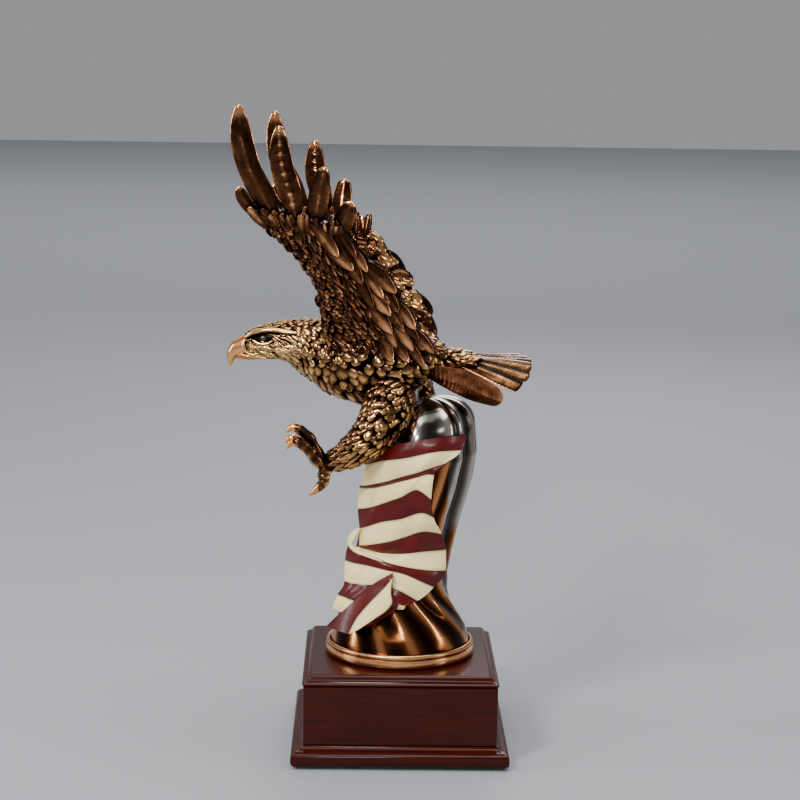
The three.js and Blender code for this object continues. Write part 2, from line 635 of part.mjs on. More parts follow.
function finish(color, roughness, metalness) {
  return new THREE.MeshStandardMaterial({ color, roughness, metalness });
}

const BRONZE = finish(0x6b4529, 0.36, 1);
const PEWTER = finish(0x6e6458, 0.28, 1);
const COPPER = finish(0x8a4a22, 0.3, 1);
const PAINT = finish(0xe4dcc0, 0.4, 0);
const MAHOGANY = finish(0x35100a, 0.2, 0);
const BARE_WOOD = finish(0xb58f61, 0.7, 0);
const STEEL = finish(0xa8a9ab, 0.35, 1);
const FELT = finish(0x1d3a26, 0.95, 0);

// ---------------------------------------------------------------- assembly

const statuette = new THREE.Group();

function add(name, solid, material) {
  const mesh = new THREE.Mesh(toGeometry(solid), material);
  mesh.name = name;
  statuette.add(mesh);
}

add('felt_pad', makeFelt(), FELT);
add('base_board', makeBaseBoard(), MAHOGANY);
['front', 'right', 'back', 'left'].forEach((name, i) => {
  add(`${name}_panel`, makePanel(i * Math.PI / 2), MAHOGANY);
});
cornerPlaces().forEach((place, i) => {
  add(`corner_block_${i + 1}`, makeCornerBlock(place), BARE_WOOD);
  add(`base_screw_${i + 1}`, makeScrew(place), STEEL);
});
add('top_board', makeTopBoard(), MAHOGANY);
add('threaded_rod', rod(0), STEEL);
add('washer', makeWasher(), STEEL);
add('hex_nut', makeNut(), STEEL);
add('foot_ring', makeRing(), COPPER);
add('column', makeColumn(), PEWTER);
add('banner', makeBanner(), PAINT);
['upper', 'lower'].forEach((name, i) => {
  add(`banner_pin_${name}`, bannerPins(0)[i], STEEL);
});
add('eagle_body', makeBody(), BRONZE);
add('left_wing', makeWing(-1), BRONZE);
add('right_wing', makeWing(1), BRONZE);
add('tail', makeTail(), BRONZE);
add('left_leg', makeLeftLeg(), BRONZE);
add('right_leg', makeRightLeg(), BRONZE);
for (const [name, ends] of Object.entries(dowelEnds())) add(name, dowel(ends, 0), STEEL);

export default statuette;
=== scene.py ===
# %% [markdown]
# An eagle statuette on a draped column, with a painted banner and a mahogany plinth. The
# real one is a resin casting with a metal finish, built from separate castings that are
# pinned and studded together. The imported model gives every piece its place, so the first
# step loads it and keeps its box, which the finished looks have to stay inside.

# %% Load the frame
import math
import random

import bmesh
import bpy
from mathutils import Matrix, Vector, noise


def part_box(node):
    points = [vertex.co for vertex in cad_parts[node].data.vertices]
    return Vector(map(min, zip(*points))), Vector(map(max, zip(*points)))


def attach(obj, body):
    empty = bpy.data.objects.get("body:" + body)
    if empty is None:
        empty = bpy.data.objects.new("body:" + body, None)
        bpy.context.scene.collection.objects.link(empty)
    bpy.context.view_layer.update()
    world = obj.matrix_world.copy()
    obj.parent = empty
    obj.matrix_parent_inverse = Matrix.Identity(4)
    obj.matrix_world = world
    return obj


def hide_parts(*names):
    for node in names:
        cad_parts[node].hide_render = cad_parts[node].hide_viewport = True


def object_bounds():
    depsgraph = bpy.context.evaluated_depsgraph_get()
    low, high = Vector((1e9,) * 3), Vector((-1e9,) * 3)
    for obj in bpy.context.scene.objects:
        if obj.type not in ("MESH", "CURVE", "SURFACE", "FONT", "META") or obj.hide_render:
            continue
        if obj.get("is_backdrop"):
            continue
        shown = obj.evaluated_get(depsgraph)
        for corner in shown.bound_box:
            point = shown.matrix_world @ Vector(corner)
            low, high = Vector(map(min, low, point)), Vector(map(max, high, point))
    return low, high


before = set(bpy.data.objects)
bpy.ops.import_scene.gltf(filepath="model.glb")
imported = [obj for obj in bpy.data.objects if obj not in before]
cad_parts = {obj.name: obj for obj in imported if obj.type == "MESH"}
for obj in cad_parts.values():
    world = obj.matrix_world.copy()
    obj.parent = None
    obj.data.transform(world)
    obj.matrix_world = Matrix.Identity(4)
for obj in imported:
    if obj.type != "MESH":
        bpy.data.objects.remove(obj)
CAD_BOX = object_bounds()
MM = 0.001
print("model box in mm:", [round(side / MM, 1) for side in CAD_BOX[1] - CAD_BOX[0]])

# %% [markdown]
# A long lens from a little above the eagle's tail keeps the plinth's sides nearly upright.
# The camera is set by the three directions it looks along, which is exact and easy to read:
# the columns of its matrix are its right, its up and the way back towards the viewer.

# %% Camera
CAMERA_PLACE = Vector((-0.02348, -1.28890, 0.43244))
CAMERA_RIGHT = Vector((0.99979879, -0.01430603, 0.01406087))
CAMERA_UP = Vector((-0.01137809, 0.17283255, 0.9848855))
camera = bpy.data.objects.new("camera", bpy.data.cameras.new("camera"))
camera.data.lens = 100
camera.data.sensor_width = 36
camera.data.clip_end = 20
axes = Matrix((CAMERA_RIGHT, CAMERA_UP, CAMERA_RIGHT.cross(CAMERA_UP))).transposed()
camera.matrix_world = Matrix.Translation(CAMERA_PLACE) @ axes.to_4x4()
bpy.context.scene.collection.objects.link(camera)
bpy.context.scene.camera = camera
print("camera at", [round(c, 3) for c in camera.location])

# %% [markdown]
# A studio needs a floor and soft lights. Polished metal shows its surroundings more than its
# own colour, so a few large panels are worth more than many small lamps: each one becomes a
# long clean highlight, and the darker gaps between them become the shadows in the bronze.

# %% Floor and lights
def plain_mesh(name, bm):
    mesh = bpy.data.meshes.new(name)
    bm.to_mesh(mesh)
    bm.free()
    thing = bpy.data.objects.new(name, mesh)
    bpy.context.scene.collection.objects.link(thing)
    return thing


def light_panel(name, place, aim, size, watts):
    lamp = bpy.data.lights.new(name, "AREA")
    lamp.shape = "RECTANGLE"
    lamp.size, lamp.size_y = size
    lamp.energy = watts
    holder = bpy.data.objects.new(name, lamp)
    turn = (Vector(aim) - Vector(place)).to_track_quat("-Z", "Y")
    holder.matrix_world = Matrix.Translation(place) @ turn.to_matrix().to_4x4()
    bpy.context.scene.collection.objects.link(holder)


FLOOR_HALF, FLOOR_COLOUR, AIR_COLOUR = 6, (0.3, 0.31, 0.33, 1), (0.62, 0.63, 0.66, 1)
floor_bm = bmesh.new()
bmesh.ops.create_grid(floor_bm, x_segments=1, y_segments=1, size=FLOOR_HALF)
floor = plain_mesh("studio_floor", floor_bm)
floor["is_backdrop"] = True
floor_paint = bpy.data.materials.new("floor_paint")
floor_paint.use_nodes = True
floor_shader = floor_paint.node_tree.nodes["Principled BSDF"]
floor_shader.inputs["Base Color"].default_value = FLOOR_COLOUR
floor_shader.inputs["Roughness"].default_value = 0.8
floor.data.materials.append(floor_paint)

world = bpy.data.worlds.new("studio_air")
world.use_nodes = True
world.node_tree.nodes["Background"].inputs["Color"].default_value = AIR_COLOUR
world.node_tree.nodes["Background"].inputs["Strength"].default_value = 0.5
bpy.context.scene.world = world
MIDDLE = (0, 0, 0.22)
# Name, place, what it points at, width and height, watts.
PANELS = [
    ("key_panel", (-0.75, -1.05, 1.25), MIDDLE, (0.26, 0.36), 20),
    ("fill_panel", (-0.2, -1.45, 0.85), MIDDLE, (0.35, 0.2), 8),
    ("top_panel", (0.1, -0.1, 1.6), MIDDLE, (1.1, 0.9), 16),
    ("right_panel", (1.1, -0.45, 0.5), MIDDLE, (0.12, 0.6), 3),
    ("left_panel", (-1.1, -0.1, 0.5), MIDDLE, (0.16, 0.6), 5),
    ("back_panel", (0.3, 1.4, 0.9), MIDDLE, (0.6, 0.4), 6),
    ("floor_wash", (0, 3.2, 2.2), (0, 3.3, 0), (4, 2.5), 60)]
for panel in PANELS:
    light_panel(*panel)
print("lights:", len(PANELS))

# %% [markdown]
# Finishes come next. Each is one Principled shader fed by a few nodes, so a small helper that
# adds a node and joins it up keeps every recipe to a handful of lines. Patterns read Object
# coordinates, in metres, so a scale of 200 means five millimetres for one repeat.

# %% Finish helpers
class Finish:
    """One material and its shader, with short ways to add and join nodes."""

    def __init__(self, name, **settings):
        self.material = bpy.data.materials.new(name)
        self.material.use_nodes = True
        self.tree = self.material.node_tree
        self.shader = self.tree.nodes["Principled BSDF"]
        for key, value in settings.items():
            self.shader.inputs[key.replace("_", " ")].default_value = value

    def join(self, socket, source):
        """Joins another node's output to the socket, or sets the socket's own value."""
        if isinstance(source, bpy.types.NodeSocket):
            self.tree.links.new(source, socket)
        else:
            socket.default_value = source

    def node(self, kind, inputs=None, **settings):
        made = self.tree.nodes.new("ShaderNode" + kind)
        for key, value in settings.items():
            setattr(made, key, value)
        for key, value in (inputs or {}).items():
            self.join(made.inputs[key], value)
        return made

    def place(self, stretch=(1, 1, 1)):
        where = self.node("TexCoord").outputs["Object"]
        return self.node("Mapping", {"Vector": where, "Scale": stretch}).outputs["Vector"]

    def speckle(self, scale, detail=4, stretch=(1, 1, 1)):
        pattern = {"Vector": self.place(stretch), "Scale": scale, "Detail": detail, "Roughness": 0.6}
        return self.node("TexNoise", pattern).outputs["Fac"]

    def value(self, name):
        return self.node("Attribute", attribute_name=name).outputs["Fac"]

    def sum(self, a, b, how="ADD", clamp=False):
        return self.node("Math", {0: a, 1: b}, operation=how, use_clamp=clamp).outputs["Value"]

    def times(self, a, b):
        return self.sum(a, b, "MULTIPLY")

    def swing(self, source, gain, middle=0.5):
        """How far the source is from its middle value, times the gain."""
        return self.times(self.sum(source, middle, "SUBTRACT"), gain)

    def ramp(self, source, stops):
        made = self.node("ValToRGB", {"Fac": source})
        bar = made.color_ramp.elements
        while len(bar) < len(stops):
            bar.new(0.5)
        for stop, (position, colour) in zip(bar, stops):
            stop.position = position
            stop.color = (*colour, 1) if len(colour) == 3 else (colour[0],) * 3 + (1,)
        return made.outputs["Color"]

    def blend(self, factor, a, b, how="MIX"):
        return self.node("Mix", {0: factor, 6: a, 7: b}, data_type="RGBA", blend_type=how).outputs[2]

    def feed(self, name, source):
        self.tree.links.new(source, self.shader.inputs[name])

    def bump(self, source, depth, strength=1.0):
        made = self.node("Bump", {"Height": source, "Distance": depth * MM, "Strength": strength})
        self.feed("Normal", made.outputs["Normal"])
        return self.material


# %% [markdown]
# Antique bronze is plated, blackened all over, and rubbed back by hand: black stays in every
# recess, and the metal shows where the cloth can reach. A value on each vertex, "relief", says
# how far that point stands out, which keeps the pattern tied to the feathers themselves and
# not to a texture laid over them. Cloudy noise then breaks it up, as a hand does. An occlusion
# node also darkens the colour where nearby forms crowd in, which is painted shade in the crevices.

# %% Bronze and copper
def make_bronze(name, stops, fine, rough):
    finish = Finish(name, Metallic=1.0)
    cloud = finish.speckle(160, detail=5)
    grit = finish.speckle(1400, detail=3)
    # Painted shade: the occlusion value darkens the metal's colour where other forms crowd it, on top of the
    # patina.
    shade = finish.node("AmbientOcclusion", {"Distance": 5 * MM}, samples=6, only_local=True)
    raised_and_shaded = finish.sum(finish.value("relief"), finish.swing(shade.outputs["AO"], 0.75, middle=0.9))
    rubbed_and_shaded = finish.sum(raised_and_shaded, finish.swing(cloud, 0.55))
    rubbed_and_shaded = finish.sum(rubbed_and_shaded, finish.swing(grit, fine), clamp=True)
    finish.feed("Base Color", finish.ramp(rubbed_and_shaded, stops))
    dull = [(0.0, (rough + 0.1,)), (0.6, (rough,))]
    finish.feed("Roughness", finish.ramp(finish.times(rubbed_and_shaded, grit), dull))
    return finish.bump(grit, 0.05, 0.5)


BODY_BRONZE = make_bronze("rubbed_bronze", [
    (0.06, (0.004, 0.002, 0.001)), (0.24, (0.03, 0.012, 0.005)), (0.46, (0.17, 0.078, 0.031)),
    (0.78, (0.9, 0.47, 0.18))], 0.4, 0.13)
HEAD_BRONZE = make_bronze("pale_rubbed_bronze", [
    (0.06, (0.006, 0.004, 0.002)), (0.26, (0.06, 0.026, 0.01)), (0.46, (0.36, 0.18, 0.066)),
    (0.72, (0.98, 0.62, 0.25))], 0.35, 0.14)
WING_BRONZE = make_bronze("dark_wing_bronze", [
    (0.05, (0.004, 0.002, 0.001)), (0.34, (0.035, 0.013, 0.006)), (0.62, (0.12, 0.044, 0.018)),
    (0.92, (0.92, 0.42, 0.18))], 0.22, 0.1)


def make_copper(name, dark, bright, rough):
    finish = Finish(name, Metallic=1.0)
    cloud = finish.speckle(60, detail=6)
    worn = finish.sum(finish.times(finish.value("relief"), 0.75), finish.times(cloud, 0.4))
    finish.feed("Base Color", finish.ramp(worn, [(0.15, dark), (0.6, bright), (0.95, (0.95, 0.48, 0.2))]))
    finish.feed("Roughness", finish.ramp(cloud, [(0.3, (rough,)), (0.7, (rough + 0.1,))]))
    return finish.bump(finish.speckle(2200, detail=2), 0.02, 0.35)


RING_COPPER = make_copper("ring_copper", (0.04, 0.013, 0.004), (0.33, 0.12, 0.04), 0.2)
BEAK_COPPER = make_copper("beak_copper", (0.22, 0.06, 0.012), (0.95, 0.36, 0.07), 0.2)
print("bronze and copper finishes:", len(bpy.data.materials) - 1)

# %% [markdown]
# The column is plated twice, pewter over copper, and rubbed through near its foot. A second
# value on each vertex, "copper", says how much of the under layer shows, so one shader blends
# the two plates and the noise gives the border between them an uneven edge.

# %% Pewter and copper
def make_pewter():
    finish = Finish("pewter_and_copper", Metallic=1.0)
    cloud = finish.speckle(38, detail=6, stretch=(1, 1, 0.35))
    copper = finish.sum(finish.value("copper"), finish.swing(cloud, 0.5), clamp=True)
    warm = finish.ramp(finish.value("relief"), [
        (0.2, (0.016, 0.005, 0.002)), (0.62, (0.13, 0.04, 0.011)), (1.0, (0.6, 0.24, 0.085))])
    cool = finish.ramp(finish.value("relief"), [
        (0.15, (0.02, 0.018, 0.015)), (0.5, (0.15, 0.135, 0.115)), (0.95, (0.55, 0.51, 0.46))])
    plates = finish.blend(finish.ramp(copper, [(0.3, (0.0,)), (0.62, (1.0,))]), cool, warm)
    finish.feed("Base Color", plates)
    finish.feed("Roughness", finish.ramp(cloud, [(0.3, (0.13,)), (0.75, (0.24,))]))
    return finish.bump(finish.speckle(1500, detail=2), 0.02, 0.3)


PEWTER = make_pewter()
print("column finish:", PEWTER.name)

# %% [markdown]
# The plinth is mahogany under a thick dark lacquer: the grain is only a faint reddish streak
# below a clear glossy coat. The banner is brushed enamel, so its colour is nearly even, with
# slow shifts where the paint lies thicker and a fine brush texture in the gloss.

# %% Wood and paint
def make_wood(name, dark, light, coat, rough, contrast):
    finish = Finish(name, Coat_Weight=coat, Coat_Roughness=0.14, Roughness=rough,
                    Specular_IOR_Level=0.03)
    wander = finish.speckle(18, detail=3)
    along = finish.node("Mapping", {"Vector": finish.place(), "Scale": (1, 9, 26)}).outputs["Vector"]
    streaks = {"Vector": along, "Scale": 22, "Detail": 8, "Distortion": 0.6}
    grain = finish.node("TexNoise", streaks).outputs["Fac"]
    tone = finish.sum(finish.times(grain, contrast), finish.times(wander, 0.4))
    finish.feed("Base Color", finish.ramp(tone, [(0.2, dark), (0.9, light)]))
    return finish.bump(grain, 0.03, 0.25)


MAHOGANY = make_wood("lacquered_mahogany", (0.008, 0.0006, 0.0), (0.05, 0.0034, 0.0001),
                     coat=0.4, rough=0.3, contrast=0.9)
BARE_WOOD = make_wood("bare_pine", (0.33, 0.2, 0.1), (0.6, 0.42, 0.25),
                      coat=0.0, rough=0.7, contrast=0.8)


def make_enamel(name, thin, thick, rough):
    finish = Finish(name, Coat_Weight=0.15, Coat_Roughness=0.15, Specular_IOR_Level=0.25)
    cloud = finish.speckle(55, detail=5)
    brush = finish.speckle(900, detail=3, stretch=(0.3, 0.3, 1))
    depth = finish.sum(cloud, finish.times(brush, 0.25))
    colour = finish.ramp(depth, [(0.35, thin), (0.85, thick)])
    crevice = finish.ramp(finish.value("relief"), [(0.0, (0.35,)), (0.3, (1.0,))])
    finish.feed("Base Color", finish.blend(1.0, colour, crevice, "MULTIPLY"))
    finish.feed("Roughness", finish.ramp(brush, [(0.3, (rough,)), (0.7, (rough + 0.12,))]))
    return finish.bump(brush, 0.03, 0.4)


CREAM = make_enamel("cream_enamel", (0.92, 0.7, 0.28), (1.0, 0.86, 0.42), 0.28)
MAROON = make_enamel("maroon_enamel", (0.05, 0.0012, 0.001), (0.11, 0.0025, 0.0015), 0.3)
print("wood and paint:", MAHOGANY.name, BARE_WOOD.name, CREAM.name, MAROON.name)

# %% [markdown]
# Three small finishes are left: bright zinc on the steel fixings, drawn out in scratches; felt,
# whose loose fibres need sheen more than colour; and the black enamel drop of the eye.

# %% Steel, felt and eye
def make_steel():
    finish = Finish("zinc_plated_steel", Metallic=1.0)
    scratch = finish.speckle(700, stretch=(1, 1, 6))
    finish.feed("Base Color", finish.ramp(scratch, [(0.3, (0.42,)), (0.75, (0.62,))]))
    finish.feed("Roughness", finish.ramp(scratch, [(0.3, (0.28,)), (0.7, (0.42,))]))
    return finish.bump(scratch, 0.02, 0.4)


def make_felt():
    finish = Finish("green_felt", Roughness=0.95, Sheen_Weight=0.4)
    fibre = finish.speckle(2600, detail=5)
    greens = [(0.3, (0.012, 0.035, 0.018)), (0.75, (0.035, 0.085, 0.045))]
    finish.feed("Base Color", finish.ramp(fibre, greens))
    return finish.bump(fibre, 0.2, 0.8)


def make_eye():
    finish = Finish("eye_enamel", Coat_Weight=1.0, Coat_Roughness=0.03, Roughness=0.15)
    blacks = [(0.35, (0.004, 0.005, 0.006)), (0.8, (0.02, 0.025, 0.028))]
    finish.feed("Base Color", finish.ramp(finish.speckle(900), blacks))
    return finish.material


STEEL, FELT, EYE = make_steel(), make_felt(), make_eye()
print("finishes in all:", len(bpy.data.materials) - 1)

# %% [markdown]
# Most of the statuette is made of rounded forms that close at both ends: a thigh, a claw, a
# single feather. All of them can start as a ball whose rows are pulled out along a path, as a
# modeller rolls clay. The ball is already closed and has no seam, so nothing has to be capped
# or welded afterwards. Work is in millimetres, and the finished mesh is scaled to metres.

# %% Clay
def new_clay():
    bm = bmesh.new()
    for name in ("relief", "copper"):
        bm.verts.layers.float.new(name)
    return bm


class Clay:
    """Forms kept in small lumps: an operator looks through all of its mesh, so lumps are quick."""

    LUMP = 300

    def __init__(self, bm=None):
        self.bm, self.lumps = bm or new_clay(), []

    def store(self):
        lump = bpy.data.meshes.new("lump")
        self.bm.to_mesh(lump)
        self.bm.free()
        self.lumps.append(lump)
        self.bm = new_clay()

    def whole(self):
        self.store()
        for lump in self.lumps:
            self.bm.from_mesh(lump)
            bpy.data.meshes.remove(lump)
        return self.bm


def pull(clay, rows, sides, place, finish=0):
    """Pulls a ball out: place(share, turn) gives a point and its relief, from 0 to 1."""
    bm = clay.bm
    start = len(bm.faces)
    relief = bm.verts.layers.float["relief"]
    verts = bmesh.ops.create_uvsphere(bm, u_segments=sides, v_segments=rows, radius=1)["verts"]
    for vert in verts:
        share = round((0.5 + math.asin(max(-1, min(1, vert.co.z))) / math.pi) * rows) / rows
        vert.co, vert[relief] = place(share, math.atan2(vert.co.y, vert.co.x))
    for face in bm.faces[start:] if finish else ():
        face.material_index = finish
    if len(bm.verts) > Clay.LUMP:
        clay.store()


def globe(share, turn):
    """The point of a ball of radius 1."""
    wide = math.sin(math.pi * share)
    return Vector((wide * math.cos(turn), wide * math.sin(turn), -math.cos(math.pi * share)))


print("pieces before modelling:", len(bpy.data.meshes))

# %% [markdown]
# Paths, tables and limbs turn a few numbers into a form. A path is a smooth curve through its
# points; a limb is a tube whose width and height change along its path. Keeping these short
# tools apart from the pieces lets each piece read as a list of places.

# %% Paths and limbs
def flow(points, share):
    """A smooth curve through the points, of any number of values each."""
    last = len(points) - 1
    reach = max(0.0, min(share, 1.0)) * last
    i = min(int(reach), last - 1)
    t = reach - i
    a, b, c, d = (Vector(points[max(0, min(k, last))]) for k in (i - 1, i, i + 1, i + 2))
    straight = 2 * b + (c - a) * t
    return 0.5 * (straight + (2 * a - 5 * b + 4 * c - d) * t * t + (3 * (b - c) + d - a) * t ** 3)


def ease(low, high, value):
    t = max(0.0, min(1.0, (value - low) / (high - low)))
    return t * t * (3 - 2 * t)


def table_at(table, key):
    """The row of a table at a key between two of its rows, which start with their keys."""
    i = 1
    while i < len(table) - 1 and table[i][0] < key:
        i += 1
    low, high = table[i - 1], table[i]
    share = max(0.0, min(1.0, (key - low[0]) / (high[0] - low[0])))
    return [a + (b - a) * share for a, b in zip(low, high)]


def limb(stations):
    """A surface along stations of x, y, z, half width across Y and half height."""
    def surface(share, turn):
        here = flow(stations, share)
        step = flow(stations, share + 0.01) - flow(stations, share - 0.01)
        heading = Vector(step[:3]).normalized()
        side = (Vector((0, 1, 0)) - heading * heading.y).normalized()
        up = heading.cross(side)
        return Vector(here[:3]) + side * here[3] * math.cos(turn) + up * here[4] * math.sin(turn)
    return surface


def solid_limb(clay, stations, rows, sides, relief, finish):
    shape = limb(stations)
    pull(clay, rows, sides, lambda share, turn: (shape(share, turn), relief(share, turn)), finish)


def finish_piece(name, bm, stands_for, materials, sharp=70, shift=(0, 0, 0)):
    """Makes the clay a finished object in metres that rides on the statuette."""
    bm = bm.whole() if isinstance(bm, Clay) else bm
    bmesh.ops.recalc_face_normals(bm, faces=bm.faces)
    bmesh.ops.translate(bm, vec=shift, verts=bm.verts)
    bmesh.ops.scale(bm, vec=(MM, MM, MM), verts=bm.verts)
    piece = plain_mesh(name, bm)
    for material in materials:
        piece.data.materials.append(material)
    piece.data.shade_smooth()
    piece.data.set_sharp_from_angle(angle=math.radians(sharp))
    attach(piece, "root")
    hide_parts(*stands_for)
    print(name, "triangles:", sum(len(p.vertices) - 2 for p in piece.data.polygons))
    return piece


def box_mm(node):
    return [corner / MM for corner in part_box(node)]


print("whole height in mm:", round(CAD_BOX[1].z / MM, 1))

# %% [markdown]
# The plinth is a moulded base board, a box of four mitred panels and a moulded top board, all
# under one coat of lacquer that fills the mitres. Each is a square moulding: a ring of four
# corners for every line of the profile, bridged to the next, with the corners just broken.

# %% Plinth
def square_moulding(profile, hollow=False):
    """A ring of four corners for each half width and height of the profile, bridged in turn."""
    bm = new_clay()
    rings = []
    for half_width, height in profile:
        spot = Matrix.Translation((0, 0, height)) @ Matrix.Rotation(math.pi / 4, 4, "Z")
        made = bmesh.ops.create_circle(bm, segments=4, radius=half_width * math.sqrt(2), matrix=spot)
        rings.append({edge for vert in made["verts"] for edge in vert.link_edges})
    for low, high in zip(rings, rings[1:] + ([rings[0]] if hollow else [])):
        bmesh.ops.bridge_loops(bm, edges=list(low | high))
    for ring in () if hollow else (rings[0], rings[-1]):
        bmesh.ops.contextual_create(bm, geom=list(ring))
    corners = [edge for edge in bm.edges if all(
        edge.verts[0].co[axis] * edge.verts[1].co[axis] > 0 for axis in (0, 1))]
    bmesh.ops.bevel(bm, geom=corners, affect="EDGES", offset=0.7, segments=3, profile=0.5, material=-1)
    relief = bm.verts.layers.float["relief"]
    for vert in bm.verts:
        vert[relief] = 0.5
    return bm


def rounded(*profile):
    """The profile with its corners eased: a smooth curve through its points."""
    count = (len(profile) - 1) * 4
    return [tuple(flow(profile, i / count)) for i in range(count + 1)]


def add_moulding(name, profile, nodes, hollow=True):
    finish_piece(name, square_moulding(profile, hollow), nodes, [MAHOGANY], sharp=25)


base_low, base_high = box_mm("base_board")
block_low, block_high = box_mm("front_panel")
BASE, BLOCK, Z, TOP = base_high.x, block_high.x, base_low.z, base_high.z
OPENING, WALL, ARRIS = 40, 7, 0.3
add_moulding("base_moulding", [(OPENING, TOP), (OPENING, Z), (BASE - 1.6, Z)] + rounded(
    (BASE - 1.6, Z), (BASE - 0.3, Z + 1.3), (BASE, Z + 4.4), (BASE - 0.3, Z + 6.7), (BASE - 1.6, Z + 7.9)
) + [(BASE - 2.3, Z + 8.0), (BASE - 2.4, Z + 8.5)] + rounded(
    (BASE - 2.5, Z + 8.5), (BASE - 4.4, Z + 9), (BLOCK + 1.0, Z + 10), (BLOCK + 0.5, TOP)), ["base_board"])

foot, head = block_low.z, block_high.z
add_moulding("lacquered_block", [
    (BLOCK - WALL, head), (BLOCK - WALL, foot), (BLOCK - ARRIS, foot), (BLOCK, foot + ARRIS),
    (BLOCK, head - ARRIS), (BLOCK - ARRIS, head)], ["front_panel", "right_panel", "back_panel", "left_panel"])

top_low, top_high = box_mm("top_board")
foot, head = top_low.z, top_high.z
FACE = BLOCK - 4.7
add_moulding("top_moulding", [(BLOCK - 1, foot)] + rounded(
    (BLOCK - 0.3, foot), (top_high.x, foot + 1.1), (BLOCK - 0.2, foot + 2.2)
) + [(BLOCK - 0.9, foot + 2.3), (BLOCK - 1, foot + 2.7)] + rounded(
    (BLOCK - 1.1, foot + 2.7), (FACE + 2.3, foot + 3.4), (FACE + 1.3, head - 1.0), (FACE, head)
) + [(FACE - 2, head)], ["top_board"], hollow=False)

# %% [markdown]
# Under the plinth is a square of felt, glued on. It is one flat piece of cloth, so its own
# sheet is a box with the edge just rounded where the knife left fibres standing.

# %% Felt
felt_low, felt_high = box_mm("felt_pad")
felt_size = felt_high - felt_low
felt_bm = new_clay()
bmesh.ops.create_cube(felt_bm, size=1)
bmesh.ops.scale(felt_bm, vec=felt_size, verts=felt_bm.verts)
bmesh.ops.translate(felt_bm, vec=(felt_low + felt_high) / 2, verts=felt_bm.verts)
bmesh.ops.bevel(felt_bm, geom=felt_bm.edges[:], affect="EDGES", offset=0.35, segments=2, profile=0.5,
                material=-1)
felt = finish_piece("felt_sheet", felt_bm, ["felt_pad"], [FELT], sharp=60)

# %% [markdown]
# The foot ring is turned, so its outline is drawn once and spun round the upright axis. A full
# spin is merged where it meets itself, or the metal would show a seam.

# %% Foot ring
ring_low, ring_high = box_mm("foot_ring")
RING, RING_Z, RING_TOP = ring_high.x, ring_low.z, ring_high.z
BORE, LIP, GROOVE = 4, 3.0, 5.7
ring_bm = new_clay()
relief = ring_bm.verts.layers.float["relief"]
ring_outline = [(BORE, RING_Z), (RING - 2, RING_Z)] + rounded(
    (RING - 1.6, RING_Z), (RING - 0.2, RING_Z + 1.3), (RING, RING_Z + 3.4), (RING - 0.35, RING_Z + 5.2)
) + [(RING - 1.0, RING_Z + 5.5), (RING - 1.1, RING_Z + 5.9)] + rounded(
    (RING - 0.8, RING_Z + 6.0), (RING - 0.7, RING_Z + 7.4), (RING - 1.7, RING_TOP),
    (RING - LIP + 0.4, RING_TOP - 0.3)) + [(RING - LIP, RING_TOP - 2.5), (BORE, RING_TOP - 2.8)]
outline = [ring_bm.verts.new((r, 0, z)) for r, z in ring_outline]
lines = [ring_bm.edges.new(pair) for pair in zip(outline, outline[1:] + outline[:1])]
bmesh.ops.spin(ring_bm, geom=outline + lines, cent=(0, 0, 0), axis=(0, 0, 1), angle=2 * math.pi,
               steps=144, use_merge=True)
bmesh.ops.remove_doubles(ring_bm, verts=ring_bm.verts, dist=1e-3)
for vert in ring_bm.verts:
    in_groove = abs(vert.co.z - RING_Z - GROOVE) < 0.25
    vert[relief] = 0.15 if in_groove else 0.4 + 0.5 * ease(RING - 3, RING, vert.co.xy.length)
finish_piece("copper_ring", ring_bm, ["foot_ring"], [RING_COPPER], sharp=35)
print("ring radius in mm:", round(RING, 1))

# %% [markdown]
# The column is cast as cloth pulled round a post: a few broad folds that start under the
# eagle, lean to the left as they fall and swing back to the right over the foot. Each fold is
# a crest line, given as angles round the column at several heights. Between two crests the
# cloth sinks in a smooth hollow, and the metal is polished like a mirror, so the hollows read
# as long soft reflections.

# %% Column's drawing
COLUMN_Z, COLUMN_HEIGHT, COLUMN_FOOT, LEAN = box_mm("column")[0].z, 148.0, RING - LIP - 0.3, 12.0
# Share of the height, share of the lean, radius as a share of the foot's.
COLUMN_ROWS = [
    (0, 0, 1), (0.02, 0, 0.99), (0.065, 0, 0.945), (0.13, -0.12, 0.85), (0.21, -0.19, 0.755),
    (0.29, -0.1, 0.7), (0.385, 0.12, 0.69), (0.48, 0.36, 0.71), (0.57, 0.6, 0.745),
    (0.66, 0.82, 0.78), (0.75, 1, 0.788), (0.84, 1, 0.752)]
CROWN_START, CROWN_TILT, FLATTENED, FOLD_DEPTH = 0.84, 0.25, 0.96, 3.4
# Each crest: degrees from the front towards +X, at the heights in CREST_HEIGHTS.
CREST_HEIGHTS = [0, 0.12, 0.25, 0.4, 0.55, 0.68, 0.8, 0.9]
CRESTS = [
    (78, 60, 34, 19, 18, 22, 28, 36), (104, 85, 56, 38, 35, 38, 42, 47),
    (138, 122, 100, 80, 68, 66, 68, 72), (170, 156, 138, 118, 104, 100, 100, 100),
    (205, 190, 172, 156, 146, 140, 136, 134), (250, 236, 222, 208, 198, 190, 184, 180),
    (290, 278, 266, 254, 244, 236, 230, 226), (322, 312, 300, 292, 286, 282, 278, 274),
    (346, 336, 320, 312, 308, 304, 300, 298), (372, 362, 344, 334, 328, 326, 322, 320),
    (407, 392, 368, 352, 346, 346, 348, 350)]


def fold_at(share, degrees):
    """How high the cloth stands, 1 on a crest and 0 in a hollow, and the gap between crests."""
    marks = sorted(table_at(list(zip(CREST_HEIGHTS, crest)), share)[1] % 360 for crest in CRESTS)
    marks = [marks[-1] - 360] + marks + [marks[0] + 360]
    degrees %= 360
    for low, high in zip(marks, marks[1:]):
        if low <= degrees <= high:
            middle = (degrees - low) / max(high - low, 1e-6)
            return (0.5 + 0.5 * math.cos(2 * math.pi * middle)) ** 1.2, high - low


